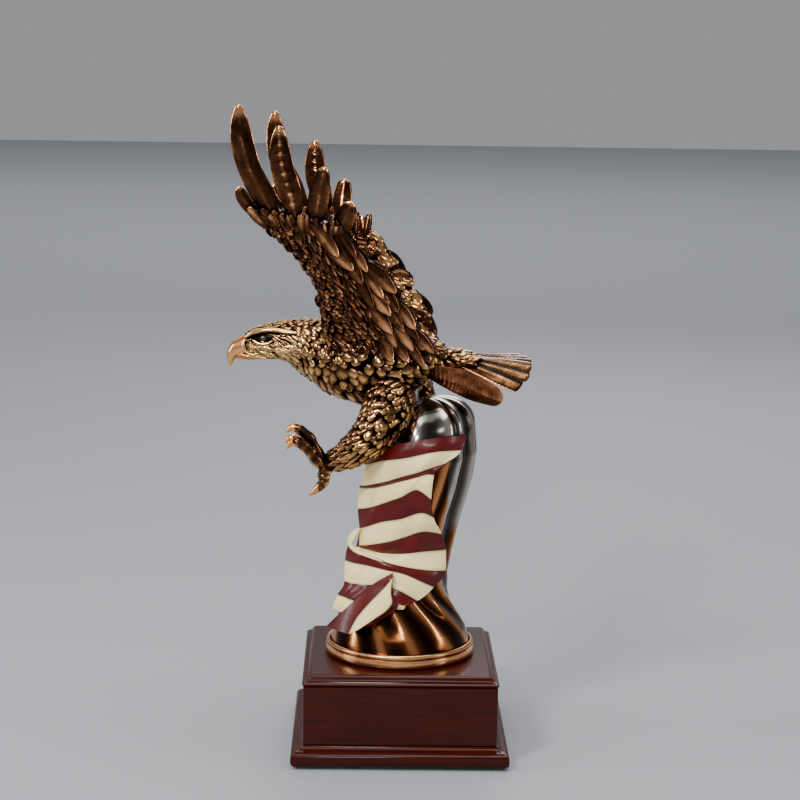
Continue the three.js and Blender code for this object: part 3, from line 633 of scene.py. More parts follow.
def column_point(share, turn, off=0.0):
    low = min(share, CROWN_START)
    _, lean, radius = table_at(COLUMN_ROWS, low)
    rise = max(0.0, min(1.0, (share - CROWN_START) / (1 - CROWN_START))) * math.pi / 2
    height, gap = fold_at(low, math.degrees(turn))
    depth = FOLD_DEPTH * ease(0.02, 0.26, low) * min(1.0, gap / 30) * (1 - 0.35 * ease(0.7, 0.84, low))
    radius = (COLUMN_FOOT * radius - depth * (1 - height) + 0.5 + off) * max(math.cos(rise), 0.0)
    x = LEAN * lean + radius * math.sin(turn)
    tilt = CROWN_TILT * ease(0.6, CROWN_START, low) * (x - LEAN)
    z = COLUMN_Z + COLUMN_HEIGHT * (low + (1 - CROWN_START) * math.sin(rise)) + tilt
    return Vector((x, -radius * math.cos(turn) * FLATTENED, z)), height


print("folds round the column:", len(CRESTS))

# %% [markdown]
# The drawing is pulled over a ball with many rows, since a mirror finish shows every facet.
# Copper shows through low down, on the sharpest crests, and in the tuck beside the banner.

# %% Column
COLUMN_ROW_COUNT, COLUMN_SIDES = 120, 180


def column_row(share, turn):
    if share == 0:
        return Vector((0, 0, COLUMN_Z)), 0.3
    point, height = column_point((share * COLUMN_ROW_COUNT - 1) / (COLUMN_ROW_COUNT - 1), turn)
    return point, 0.2 + 0.8 * height ** 1.5


column_clay = Clay()
pull(column_clay, COLUMN_ROW_COUNT, COLUMN_SIDES, column_row)
column_bm = column_clay.whole()
copper, relief = (column_bm.verts.layers.float[name] for name in ("copper", "relief"))
for vert in column_bm.verts:
    share = (vert.co.z - COLUMN_Z) / COLUMN_HEIGHT
    degrees = math.degrees(math.atan2(vert.co.x - LEAN * ease(0.2, 0.6, share), -vert.co.y))
    tuck = ease(0, 10, degrees) * (1 - ease(26, 34, degrees))
    tuck *= ease(0.3, 0.45, share) * (1 - ease(0.78, 0.86, share))
    crest = ease(0.95, 1.0, vert[relief])
    vert[copper] = max(1 - ease(0.36, 0.62, share), 0.6 * crest, 0.8 * tuck)
finish_piece("draped_column", column_bm, ["column"], [PEWTER], sharp=80)

# %% [markdown]
# The banner is one sheet of cloth laid over the column and folded on itself. It is built row
# by row along its stripes, so each stripe's edge is a real line of the mesh and stays crisp
# when a material is given to the faces of one stripe. A plain smooth curve would swing past
# the rows that lie close together at a fold, so the rows are joined by one that never does.

# %% Banner's drawing
# Each row: stand-off from the column, then x and z at five places from left to right.
BANNER_ROWS = [
    (2.0, [(-18.5, 182.5), (-7.8, 184.7), (6.5, 188.0), (21.0, 190.4), (37.5, 190.6)]),
    (3.2, [(-21.5, 170.6), (-11.1, 175.3), (3.8, 178.8), (19.4, 182.3), (33.6, 181.9)]),
    (2.6, [(-24.6, 156.6), (-12.6, 162.2), (1.1, 167.6), (12.6, 171.6), (24.5, 175.4)]),
    (1.6, [(-25.2, 154.4), (-13.2, 159.5), (1.1, 164.8), (12.7, 168.5), (18.0, 168.6)]),
    (3.4, [(-26.0, 143.1), (-13.1, 149.4), (-1.6, 155.0), (8.1, 159.8), (16.5, 154.0)]),
    (3.2, [(-24.9, 132.3), (-12.6, 138.8), (0.1, 142.5), (11.2, 146.1), (18.2, 142.8)]),
    (3.4, [(-24.8, 122.6), (-12.6, 126.4), (1.6, 131.2), (12.0, 134.6), (23.0, 132.0)]),
    (1.6, [(-24.4, 121.4), (-15.0, 120.6), (-3.6, 120.4), (10.6, 121.7), (26.1, 121.2)]),
    (6.4, [(-31.0, 121.6), (-22.8, 120.0), (-10.9, 117.1), (3.4, 113.6), (26.0, 109.6)]),
    (7.0, [(-33.2, 112.5), (-23.7, 113.2), (-10.8, 112.2), (3.4, 109.0), (19.0, 101.0)]),
    (7.0, [(-33.4, 101.0), (-24.9, 101.4), (-15.0, 102.6), (-2.2, 100.6), (9.3, 94.0)]),
    (7.5, [(-37.4, 92.6), (-31.6, 92.4), (-24.4, 92.0), (-12.0, 91.8), (2.2, 91.6)]),
    (8.0, [(-40.8, 83.0), (-36.0, 84.0), (-28.3, 85.6), (-15.2, 88.8), (-1.0, 91.0)])]
FLAT_ROWS = [[off] + [number for place in places for number in place] for off, places in BANNER_ROWS]


def settle(rows, share):
    """A smooth way through rows of numbers that never swings past a row."""
    spot = share * (len(rows) - 1)
    i = min(int(spot), len(rows) - 2)
    t = spot - i
    result = []
    for column in zip(*rows):
        steps = [b - a for a, b in zip(column, column[1:])]
        slopes = [2 * a * b / (a + b) if a * b > 0 else 0.0 for a, b in zip(steps, steps[1:])]
        slopes = [steps[0], *slopes, steps[-1]]
        start, end = column[i], column[i + 1]
        curve = (2 * start - 2 * end + slopes[i] + slopes[i + 1]) * t ** 3
        curve += (3 * end - 3 * start - 2 * slopes[i] - slopes[i + 1]) * t ** 2
        result.append(start + slopes[i] * t + curve)
    return result


def over_column(x, z, off):
    """The point at x and z that stands off the column's front."""
    _, lean, radius = table_at(COLUMN_ROWS, min((z - COLUMN_Z) / COLUMN_HEIGHT, CROWN_START))
    reach = COLUMN_FOOT * radius + 0.8 + off
    sine = max(-0.985, min(0.985, (x - LEAN * lean) / reach))
    return Vector((x, -reach * math.sqrt(1 - sine * sine) * FLATTENED, z))


def banner_point(row, across, lift):
    off, *numbers = settle(FLAT_ROWS, row / (len(FLAT_ROWS) - 1))
    x, z = flow(list(zip(numbers[::2], numbers[1::2])), across)
    return over_column(x, z, off + lift)


print("banner's rows:", len(BANNER_ROWS))

# %% [markdown]
# The sheet is a grid with eight lines to a stripe. Between two rows it bellies out a little,
# and a slow ripple runs across it. The groove between two stripes is where the paint is dark.

# %% Banner's sheet
ROWS_PER_STRIPE, BANNER_COLUMNS, STRIPES = 8, 56, len(BANNER_ROWS) - 1
banner_bm = new_clay()
relief = banner_bm.verts.layers.float["relief"]


def stripe_relief(place):
    """Low where the paint of two stripes meets, high between."""
    return 0.05 + 2.2 * abs(place - round(place))


bmesh.ops.create_grid(banner_bm, x_segments=BANNER_COLUMNS, y_segments=STRIPES * ROWS_PER_STRIPE, size=1)
for vert in banner_bm.verts:
    across, down = (vert.co.x + 1) / 2, (1 - vert.co.y) / 2 * STRIPES
    ripple = 0.5 * math.sin(5.5 * math.pi * across + 1.3 * down) * ease(0, 0.25, across)
    vert.co = banner_point(down, across, ripple + 0.7 * math.sin(math.pi * (down % 1)))
    vert[relief] = stripe_relief(down)
for index, face in enumerate(banner_bm.faces):
    stripe = STRIPES - 1 - index // (BANNER_COLUMNS * ROWS_PER_STRIPE)
    face.material_index = 1 - stripe % 2
print("stripes:", STRIPES)

# %% [markdown]
# The loose corner is folded over the sheet. Four lines run from its top to its hanging edge,
# with a stripe between each two. Once it is in place the whole cloth gets its thickness.

# %% Banner's loose corner
FLAP_LINES = [
    [(-5.5, 111.2), (-16.4, 104.1), (-25.6, 95.4), (-33.3, 87.3), (-39.1, 81.0), (-43.6, 75.4)],
    [(-5.4, 108.4), (-10.0, 102.6), (-17.7, 94.6), (-23.3, 88.0), (-26.8, 82.9), (-30.5, 75.0)],
    [(-5.7, 107.4), (-6.2, 99.7), (-5.6, 94.2), (-9.2, 89.6), (-14.8, 85.5), (-21.6, 80.4)],
    [(-5.4, 105.8), (-4.3, 98.6), (-1.6, 92.7), (-5.0, 88.3), (-11.4, 84.2), (-19.1, 79.0)]]
FLAP_ROWS, CLOTH_THICKNESS = 30, 1.6
grid = bmesh.ops.create_grid(banner_bm, x_segments=3 * ROWS_PER_STRIPE, y_segments=FLAP_ROWS, size=1)["verts"]
for face in {face for vert in grid for face in vert.link_faces}:
    face.material_index = 1 - int((face.calc_center_median().x + 1) / 2 * 3) % 2
for vert in grid:
    across, down = (vert.co.x + 1) / 2 * 3, (1 - vert.co.y) / 2
    line = min(int(across), 2)
    spot = flow(FLAP_LINES[line], down).lerp(flow(FLAP_LINES[line + 1], down), across - line)
    off = 10 + 2 * ease(0, 0.5, down) - 3.5 * ease(1.7, 3, across) + 1.2 * math.sin(math.pi * across / 3)
    vert.co = over_column(spot.x, spot.y, off)
    vert[relief] = stripe_relief(across)
bmesh.ops.recalc_face_normals(banner_bm, faces=banner_bm.faces)
bmesh.ops.solidify(banner_bm, geom=banner_bm.faces[:], thickness=CLOTH_THICKNESS)
print("banner's faces:", len(banner_bm.faces))

# %% [markdown]
# The left edge of the big fold is rolled forward, so its cream back shows as a crescent. It
# is a separate pulled form that lies on the fold. The two dowels behind the banner end in the
# casting, so the painted piece stands for them too.

# %% Banner's rolled edge
RIM = [(-24.6, 133.6), (-26.8, 131.0), (-29.4, 127.2), (-30.4, 123.6), (-27.6, 120.8), (-20.6, 119.2),
       (-10.5, 116.6)]
RIM_HALF = [(0.2, 0), (1.2, 0), (1.7, 0), (1.6, 0), (1.3, 0), (0.8, 0), (0.2, 0)]


def rim_place(share, turn):
    spot, half = flow(RIM, share), flow(RIM_HALF, share).x
    step = (flow(RIM, min(1, share + 0.02)) - flow(RIM, max(0, share - 0.02))).normalized()
    spot = spot + Vector((step.y, -step.x)) * half * math.cos(turn)
    off = 5.6 + 2.2 * ease(0, 0.4, share) + half * math.sin(turn)
    return over_column(spot.x, spot.y, off), 0.8


banner_clay = Clay(banner_bm)
pull(banner_clay, 40, 16, rim_place)
BANNER_NODES = ["banner", "banner_pin_upper", "banner_pin_lower"]
finish_piece("painted_banner", banner_clay, BANNER_NODES, [CREAM, MAROON])

# %% [markdown]
# The eagle's feathers are over two thousand small raised leaves. Each is a tiny pulled ball:
# sunk at its root, lifted at its tip, so every row overlaps the next like roof tiles. A small
# seeded jitter in place and size keeps them hand-modelled, and a few dozen faces each is enough.

# %% Short feather
def scale_feather(clay, spot, along, across, normal, size, rng, rows=5, sides=8, finish=0):
    length, width, height, lift = (value * rng.uniform(0.78, 1.28) for value in size)
    lean = rng.uniform(-0.2, 0.2)
    bright = rng.uniform(0.35, 1.1)

    def place(share, turn):
        c, s = math.cos(turn), math.sin(turn)
        reach = -math.cos(math.pi * share) * length / 2
        half = width / 2 * math.sin(math.pi * share ** 1.15)
        rise = lift * share + height * s * (0.45 + 0.55 * share if s > 0 else 0.9)
        rise *= 0.25 + 0.75 * ease(0, 0.3, share)
        point = spot + along * reach + across * (c * half + lean * reach) + normal * (rise - 0.1)
        crest = (0.1 + 0.6 * share) * max(s, 0.0) ** 2 * bright
        return point, 0.16 + 0.16 * share + crest if s > -0.1 else 0.24

    pull(clay, rows, sides, place, finish)


# %% [markdown]
# Rows of short feathers cover a base form. A row is walked by its length and not by its angle,
# so the feathers keep their spacing where the form is flat, and each one is turned to lie along
# the way the plumage runs there.

# %% Rows of feathers
def lay(clay, surface, zone, size, heading, seed, finish=None, keep=None, tile=0.56, stray=0.3,
        fine=(5, 8)):
    """Covers part of a surface with short feathers; zone is two shares and two turns."""
    rng = random.Random(seed)
    v, end, a0, a1 = zone
    middle = (a0 + a1) / 2
    steps = [surface(v + (end - v) * i / 40, middle) for i in range(41)]
    per_mm = (end - v) / sum((b - a).length for a, b in zip(steps, steps[1:]))
    turns = [a0 + (a1 - a0) * i / 36 for i in range(37)]
    made = row = 0
    while v < end:
        ring = [surface(v, turn) for turn in turns]
        walked = [0.0]
        for a, b in zip(ring, ring[1:]):
            walked.append(walked[-1] + (b - a).length)
        long, wide, _, _ = size(ring[18])
        count = max(1, round(walked[-1] / (wide * 0.76)))
        for c in range(count):
            goal = walked[-1] * (c + 0.25 + 0.5 * (row % 2) + rng.uniform(-0.26, 0.26)) / count
            i = max(1, next((k for k, w in enumerate(walked) if w >= goal), 36))
            part = (goal - walked[i - 1]) / max(walked[i] - walked[i - 1], 1e-6)
            turn = turns[i - 1] + (turns[i] - turns[i - 1]) * part
            share = v + rng.uniform(-0.22, 0.22) * long * per_mm
            spot = surface(share, turn)
            if keep and not keep(spot):
                continue
            ahead = surface(share + 0.004, turn) - surface(share - 0.004, turn)
            around = surface(share, turn + 0.02) - surface(share, turn - 0.02)
            normal = around.cross(ahead).normalized()
            if normal.dot(spot - surface(share, turn + math.pi)) < 0:
                normal = -normal
            along = heading(spot)
            along = (along - normal * along.dot(normal)).normalized()
            along = (along + normal.cross(along) * rng.uniform(-stray, stray)).normalized()
            scale_feather(clay, spot, along, normal.cross(along), normal, size(spot), rng, *fine,
                          finish(spot) if finish else 0)
            made += 1
        v += long * tile * per_mm
        row += 1
    return made


# %% [markdown]
# A long feather has a shaft down its middle and fine barbs that slope away from it. The shaft
# is a raised crest, the barbs are a slow wave across the blade, and some shafts carry beads of
# cast metal. Noise along the blade rubs it in streaks.

# %% Long feather
BARB_SPACING, BARB_SLOPE = 2.3, 2.2


def vane(clay, path, widths, thick, to_world, tip, rows=80, ridge=0.4, barb=0.03, beads=0, tone=0.4,
         edge=0.16, rubbed_tip=1.0, finish=0):
    """A long feather along a path of x, z points; to_world(x, h, z) places it."""
    length = sum((Vector(b) - Vector(a)).length for a, b in zip(path, path[1:]))
    widths = [(width, 0) for width in widths]

    def place(share, turn):
        c, s = math.cos(turn), math.sin(turn)
        c = math.copysign(abs(c) ** 1.4, c)
        step = flow(path, min(1, share + 0.02)) - flow(path, max(0, share - 0.02))
        step = step.normalized() if step.length > 1e-9 else Vector((1, 0))
        end = math.sqrt(max(0.0, 1 - max(0.0, (share - tip) / (1 - tip)) ** 2))
        half = flow(widths, share).x * end * min(1.0, share * 12 + 0.3)
        groove = math.sin(2 * math.pi * (share * length + BARB_SLOPE * abs(c)) / BARB_SPACING)
        crest = max(0.0, 1 - abs(c) / 0.3)
        drop = beads and max(0.0, math.sin(2 * math.pi * share * beads)) * ease(0.2, 0.3, share) * crest
        high = thick * abs(s) ** 0.6 * (1 - 0.45 * c * c) * (0.4 + 0.6 * end)
        high += ridge * crest * (1 - 0.6 * share) + 0.6 * drop
        high += barb * groove * (1 - crest) * min(1, 4 * (1 - abs(c)))
        point = flow(path, share) + Vector((step.y, -step.x)) * c * half
        relief = tone + 0.03 * groove * (1 - crest) + edge * (crest + ease(0.8, 1, abs(c))) + 0.42 * drop
        relief += 0.2 * noise.noise(Vector((share * length * 0.12, c * 5, half)))
        if share > 0.86:
            relief = max(relief, rubbed_tip * (0.4 + 0.6 * ease(0.86, 0.96, share)))
        # Darker towards the root: painted shade where the root lies tucked under other feathers.
        relief *= 0.3 + 0.7 * ease(0.02, 0.2, share)
        return to_world(point.x, math.copysign(high, s) if abs(s) > 1e-6 else 0.0, point.y), relief

    pull(clay, rows, 16, place, finish)


print("barbs are", BARB_SPACING, "mm apart")

# %% [markdown]
# The trunk is one long form from the face to the rump. Its stations are drawn in millimetres
# from the plinth's centre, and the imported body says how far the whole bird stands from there.
# The brow, the beak and the eye are separate small forms pressed into it.

# %% Eagle's body
body_low, body_high = box_mm("eagle_body")
DRAWN_BEAK_X, DRAWN_TOP_Z = -105.0, 258.6
EAGLE_SHIFT = Vector((body_low.x - DRAWN_BEAK_X, 0, body_high.z - DRAWN_TOP_Z))
# x, z, half width, half height.
TRUNK = [
    (-96.5, 236.0, 2.5, 4.0), (-94.5, 236.4, 4.6, 5.6), (-90.6, 237.6, 6.6, 7.4),
    (-86.0, 239.1, 8.0, 8.8), (-81.0, 240.3, 9.3, 9.7), (-73.0, 241.3, 11.0, 10.6),
    (-65.0, 240.8, 12.4, 12.2), (-57.0, 238.6, 14.2, 14.8), (-50.0, 236.2, 16.6, 17.4),
    (-43.0, 234.2, 19.0, 20.0), (-35.0, 232.4, 21.4, 23.0), (-25.0, 231.6, 22.8, 25.2),
    (-12.0, 230.8, 22.8, 24.6), (-1.0, 230.8, 20.4, 21.0), (8.0, 231.2, 16.0, 15.4),
    (17.0, 231.8, 11.5, 10.4), (26.0, 231.6, 8.0, 6.6)]
trunk = limb([(x, 0, z, wide, high) for x, z, wide, high in TRUNK])
# x, then the way the feathers run: ahead and down.
BODY_FLOW = [(-95, 1, -0.1), (-72, 1, -0.35), (-60, 0.75, -0.75), (-50, 0.45, -1), (-38, 0.4, -1),
             (-20, 0.7, -0.75), (5, 1, -0.35), (20, 1, -0.1)]
# x, then a feather's length, width, height and lift.
BODY_SIZES = [
    (-96, 5.0, 1.3, 0.5, 0.15), (-76, 7.0, 1.7, 0.8, 0.3), (-67, 6.6, 2.3, 1.1, 0.4),
    (-59, 7.0, 4.4, 1.6, 0.8), (-50, 7.6, 6.4, 1.9, 1.0), (-36, 8.4, 7.8, 2.0, 1.1),
    (-10, 8.4, 7.6, 1.9, 1.1), (14, 7.0, 5.6, 1.6, 0.9), (26, 7.5, 4.2, 1.2, 0.7)]
BODY, PALE, HORN, EYE_DROP = range(4)


def body_heading(p):
    _, ahead, down = table_at(BODY_FLOW, p.x)
    return Vector((ahead, 0, down * (1 - ease(246, 256, p.z))))


def head_finish(p):
    crown = p.z > 246.5 and abs(p.y) < 9
    return PALE if p.x < -52 + 3 * noise.noise(p * 0.4) and not crown else BODY


def clear_of_face(p):
    at_eye = (p.x + 84.5) ** 2 / 66 + (p.z - 243.6) ** 2 / 6.5 < 1 and abs(p.y) > 4
    return not at_eye and p.x > -91.5


def round_about(inset=0.03):
    """The zone of a whole form, but for its ends."""
    return (inset, 1 - inset, -math.pi, math.pi)


body_clay = Clay()
pull(body_clay, 64, 48, lambda share, turn: (trunk(share, turn), 0.08))
count = lay(body_clay, trunk, round_about(), lambda p: table_at(BODY_SIZES, p.x)[1:], body_heading, 11,
            head_finish, clear_of_face)
print("body feathers:", count)

# %% [markdown]
# The beak is two pulled hooks, bright on top and dark inside the mouth. Each side of the face
# then gets four soft ridges and an eye. The ridges are what make the look fierce: the brow
# overhangs the eye, so it lies in shadow from any light above.

# %% Beak, brow and eye
solid_limb(body_clay, [
    (-86, 0, 238.6, 6.2, 6.6), (-91, 0, 238.2, 6.0, 6.6), (-94.6, 0, 237.2, 5.2, 5.9),
    (-97.8, 0, 235.8, 4.3, 5.0), (-100.2, 0, 233.2, 3.3, 3.5), (-101.4, 0, 229.8, 2.0, 2.1),
    (-101.8, 0, 225.8, 0.4, 0.5)], 36, 28, lambda share, turn:
    0.45 + 0.5 * ease(0.1, 0.3, share) - 0.35 * ease(0.55, 0.9, -math.sin(turn)), HORN)
solid_limb(body_clay, [
    (-84, 0, 231.6, 4.4, 1.6), (-90, 0, 231.4, 4.0, 1.8), (-95.5, 0, 231.6, 2.8, 1.5),
    (-99.3, 0, 231.2, 1.2, 0.7)], 18, 20, lambda share, turn:
    0.55 - 0.4 * ease(-0.2, 0.8, math.sin(turn)), HORN)
# Each ridge: rows, sides, its relief and how much that changes round it, then its stations.
FACE_RIDGES = {
    "brow": (30, 14, 0.55, 0.4, [
        (-93.2, 4.8, 243.0, 0.8, 0.8), (-88.5, 6.8, 246.4, 1.8, 1.5), (-82.0, 8.6, 248.2, 2.0, 1.5),
        (-75.0, 10.2, 248.6, 1.7, 1.4), (-68.0, 11.2, 247.6, 1.4, 1.3), (-61.5, 12.0, 247.2, 0.7, 0.7)]),
    "lower lid": (16, 10, 0.75, 0, [
        (-88.5, 7.2, 242.6, 0.5, 0.5), (-84.6, 8.6, 240.5, 1.1, 0.8), (-80.0, 9.5, 240.6, 1.2, 0.8),
        (-76.2, 10.2, 242.8, 0.6, 0.6)]),
    "rim of the beak": (20, 10, 0.8, 0, [
        (-91.4, 4.2, 243.6, 0.8, 0.8), (-93.6, 5.2, 240.6, 1.1, 1.2), (-93.2, 5.7, 237.0, 1.2, 1.3),
        (-90.4, 6.4, 234.2, 1.0, 1.0), (-86.0, 7.0, 233.2, 0.6, 0.6)]),
    "corner of the mouth": (20, 10, 0.7, 0.25, [
        (-97.0, 3.2, 233.0, 0.5, 0.6), (-91.0, 5.0, 232.6, 0.9, 0.8), (-85.0, 6.4, 232.2, 0.9, 0.9),
        (-79.5, 7.4, 231.6, 0.5, 0.5)])}
for side in (-1, 1):
    for rows, sides, relief, change, stations in FACE_RIDGES.values():
        stations = [(x, side * y, z, wide, high) for x, y, z, wide, high in stations]
        solid_limb(body_clay, stations, rows, sides,
                   lambda share, turn: relief + change * math.sin(turn), PALE)
    eye = Vector((-81.6, side * 7.6, 243.7))
    pull(body_clay, 16, 24, lambda share, turn: (eye + globe(share, turn) * 2.3, 0.5), EYE_DROP)
print("ridges on each cheek:", list(FACE_RIDGES))

# %% [markdown]
# Long thin locks lie over the cheek and the throat. Each follows the skin: at every step its
# distance from the middle is worked out from the trunk's own width and height there.

# %% Cheek locks
LOCKS, LOCK_STEPS = 26, 5


def cheek(x, z, side):
    _, middle, wide, high = table_at(TRUNK, x)
    return side * (wide * math.sqrt(max(0.05, 1 - ((z - middle) / high) ** 2)) + 0.45)


for side in (-1, 1):
    rng = random.Random(40 + side)
    for _ in range(LOCKS):
        x, z = rng.uniform(-90, -64), rng.uniform(232.5, 241)
        if x < -78 and z > 239:
            continue
        reach, wave = rng.uniform(6, 10), rng.uniform(-0.8, 0.8)
        stations = []
        for i in range(LOCK_STEPS + 1):
            far = reach * i / LOCK_STEPS
            here, height = x + far, z + wave * math.sin(i * 1.6) - 0.22 * far
            girth = 0.25 + 0.55 * math.sin(math.pi * (i + 0.6) / 6.2)
            stations.append((here, cheek(here, height, side), height, girth, girth))
        solid_limb(body_clay, stations, 10, 8, lambda share, turn: 0.85, PALE)
finish_piece("eagle_trunk", body_clay, ["eagle_body"],
             [BODY_BRONZE, HEAD_BRONZE, BEAK_COPPER, EYE], shift=EAGLE_SHIFT)

# %% [markdown]
# A raised wing is a thin bowed blade. Its arm carries short rough coverts along the leading
# edge, steep glossy coverts behind them and long smooth secondaries at the back; the side that
# faces the other wing has rows of broad rounded scales. The hand's long primaries fan out
# above the wrist. Both wings come from one drawing, mirrored and shifted as the casting is.

# %% Wing's drawing
LEAD = [(-43, 240), (-45.5, 251), (-47.4, 263), (-50, 275.5), (-56, 286.8), (-64.5, 297.8), (-76, 308.8),
        (-86, 318.5)]
TRAIL = [(11, 239), (9, 246), (5.5, 254.5), (0, 264), (-8, 275.5), (-17.7, 287.9), (-27, 299), (-35, 308)]
WING_FOOT_Z, WING_REACH, WING_ROOT_Y, WING_TIP_Y = 245.0, 135.5, 18.5, 46.6
RIGHT_SHIFT, RIGHT_DROP = 14.5, 8.0
ROOT_HALF_THICK, WRIST_THINNER, BACK_THINNER = 6.4, 2.9, 0.72


def wing_space(side):
    """Places a wing's drawing: x and z in its plane, h outwards from its bowed middle."""
    right = (side + 1) / 2

    def to_world(x, h, z):
        share = max(0.0, min(1.0, (z - WING_FOOT_Z) / WING_REACH))
        bow = WING_ROOT_Y + (WING_TIP_Y - WING_ROOT_Y) * math.sin(share * math.pi / 2)
        x += right * RIGHT_SHIFT * min(1.0, 0.5 + share)
        return Vector((x, side * (bow + h), z - right * RIGHT_DROP * share))
    return to_world


def between_edges(share, back):
    """A point in the wing's drawing: share from shoulder to wrist, back from leading edge."""
    lead, trail = flow(LEAD, share), flow(TRAIL, share)
    return lead + (trail - lead) * back


def blade(side):
    to_world = wing_space(side)

    def surface(share, turn):
        back = (1 - math.cos(turn)) / 2
        spot = between_edges(share, back)
        bulge = math.copysign(abs(math.sin(turn)) ** 0.7, math.sin(turn))
        half = (ROOT_HALF_THICK - WRIST_THINNER * share) * (1 - BACK_THINNER * back) * bulge
        return to_world(spot.x, half, spot.y)
    return surface


# Each long feather of the hand: its path, half widths, how far out it lies, its beads.
PRIMARIES = [
    ([(-72, 310), (-76.5, 320), (-82.5, 332.5), (-88.2, 344), (-91.6, 355.5), (-93.4, 367), (-94.6, 380.3)],
     [3.5, 5.5, 7.4, 7.2, 7.2, 6.2, 3.6], 0.6, 0),
    ([(-62, 309), (-63, 319), (-66, 331.5), (-69.8, 344), (-71.4, 356), (-72, 368.8)],
     [3.5, 5.0, 7.2, 7.2, 6.2, 3.6], 1.8, 11),
    ([(-55, 305), (-54, 313), (-51, 321.5), (-49.4, 331), (-47.8, 340), (-46.6, 346)],
     [3.5, 5.2, 6.3, 6.4, 5.0, 3.0], 1.0, 0),
    ([(-46, 299), (-41.6, 305), (-37.2, 312.5), (-34, 319.5), (-31.6, 326.6)],
     [3.5, 5.8, 6.3, 6.2, 3.6], 0.2, 0),
    ([(-76, 311), (-82.5, 317.5), (-88, 322.5), (-92.3, 328.5), (-94.4, 334.6)],
     [3.0, 3.6, 4.2, 4.2, 2.6], 1.2, 0)]
# How far the tips of the right wing's primaries stand from the mirrored ones.
FAR_TIPS = [(1.8, 0.5), (3.6, -6.4), (-4, -7.7), (-14, -10), (1, 0)]
print("wrist in mm across:", round((flow(TRAIL, 1) - flow(LEAD, 1)).length, 1))

# %% [markdown]
# Each zone of the wing has its own feather. The hand's long ones are made one by one. Then
# come five zones of rows, each with its size and the way it lies, from the broad secondaries
# on the trailing edge to the scales inside. A loose tuft of coverts hides the long ones' roots.

# %% Wings
TUFT = 22


def lean(x, z):
    """The same way to lie everywhere."""
    return lambda p: Vector((x, 0, z))


def add_coverts(clay, surface, seed):
    turn_at = lambda back: math.acos(1 - 2 * back)
    foot = lambda p: 1 - ease(246, 285, p.z)
    mixed = lambda p: int(noise.noise(p * 0.07) > 0.0)
    made = 0
    # zone (two shares, then two turns), size, lie, seed, and the row's own habits
    for zone, size, lie, extra, habits in [
            ((0.1, 0.96, turn_at(0.6), turn_at(0.97)), lambda p: (25, 8.6, 3.0, 2.6),
             lean(0.6, -0.8), 50, {"tile": 0.42, "stray": 0.12, "fine": (14, 12)}),
            ((0.16, 0.99, turn_at(0.24), turn_at(0.66)),
             lambda p: (11 - 2 * foot(p), 3.4 + foot(p), 2.4, 1.3),
             lean(0.52, -0.86), 0, {"tile": 0.5}),
            ((0.0, 0.99, 0.05, turn_at(0.3)),
             lambda p: (4.8 + 2 * foot(p), 3.6 + 1.8 * foot(p), 1.8 + 0.5 * foot(p), 1.0),
             lean(0.85, -0.5), 10, {}),
            ((0.0, 0.2, turn_at(0.26), turn_at(0.95)), lambda p: (7.5, 5.6, 2.3, 1.2),
             lean(0.75, -0.65), 20, {}),
            ((0.02, 1.0, -math.pi * 0.98, -0.05), lambda p: (11, 7.4, 1.9, 0.8),
             lean(0.8, -0.55), 30, {"finish": mixed, "stray": 0.25})]:
        made += lay(clay, surface, zone, size, lie, seed + extra, **habits)
    return made


def add_tuft(clay, side, seed):
    """Loose coverts over the roots of the hand's long feathers, on both faces of the wing."""
    rng, to_world = random.Random(seed), wing_space(side)
    for k in range(TUFT):
        back = k / (TUFT - 1)
        spot = between_edges(0.97 + 0.02 * (k % 2), 0.02 + 0.94 * back)
        lie = Vector((-0.55 + 0.55 * back + rng.uniform(-0.2, 0.2), 0.83)).normalized()
        size = (rng.uniform(9, 17), rng.uniform(4.2, 7.6), rng.uniform(1.6, 2.8), 1.0)
        for height in (3.0 - 1.2 * back, 1.2 * back - 3.0):
            here = to_world(spot.x, height, spot.y)
            along = (to_world(spot.x + lie.x, height, spot.y + lie.y) - here).normalized()
            normal = Vector((0, side * math.copysign(1, height), 0))
            normal = (normal - along * along.dot(normal)).normalized()
            scale_feather(clay, here, along, normal.cross(along), normal, size, rng, 8, 10)


def make_wing(side, name):
    clay, seed = Clay(), 100 + side
    surface, to_world = blade(side), wing_space(side)
    pull(clay, 40, 32, lambda share, turn: (surface(min(share, 0.995), turn), 0.07))
    for (path, widths, height, beads), (dx, dz) in zip(PRIMARIES, FAR_TIPS):
        if side > 0:
            last = len(path) - 1
            path = [(x + dx * k / last, z + dz * k / last) for k, (x, z) in enumerate(path)]
        vane(clay, path, [0.9 * width for width in widths], 1.5,
             lambda x, h, z: to_world(x, h + height, z), tip=0.84, beads=beads)
    print(name, "coverts:", add_coverts(clay, surface, seed))
    add_tuft(clay, side, seed + 40)
    finish_piece(name + "_feathers", clay, [name], [WING_BRONZE, BODY_BRONZE], shift=EAGLE_SHIFT)


make_wing(-1, "left_wing")
make_wing(1, "right_wing")

# %% [markdown]
# The tail is a half-open fan of six narrow feathers, and its near half droops over the column.
# Each feather is drawn along its own line and then turned into the fan, so the barbs and the
# shaft follow it. At the near edge is one broad feather that shows its flat side.

# %% Tail
TAIL_ROOT = Vector((21.3, 0, 231.6))
TAIL_LENGTH = 54.0
NEAR_DROOP, FAR_DROOP, DIP = math.radians(35), math.radians(4), math.radians(1.5)
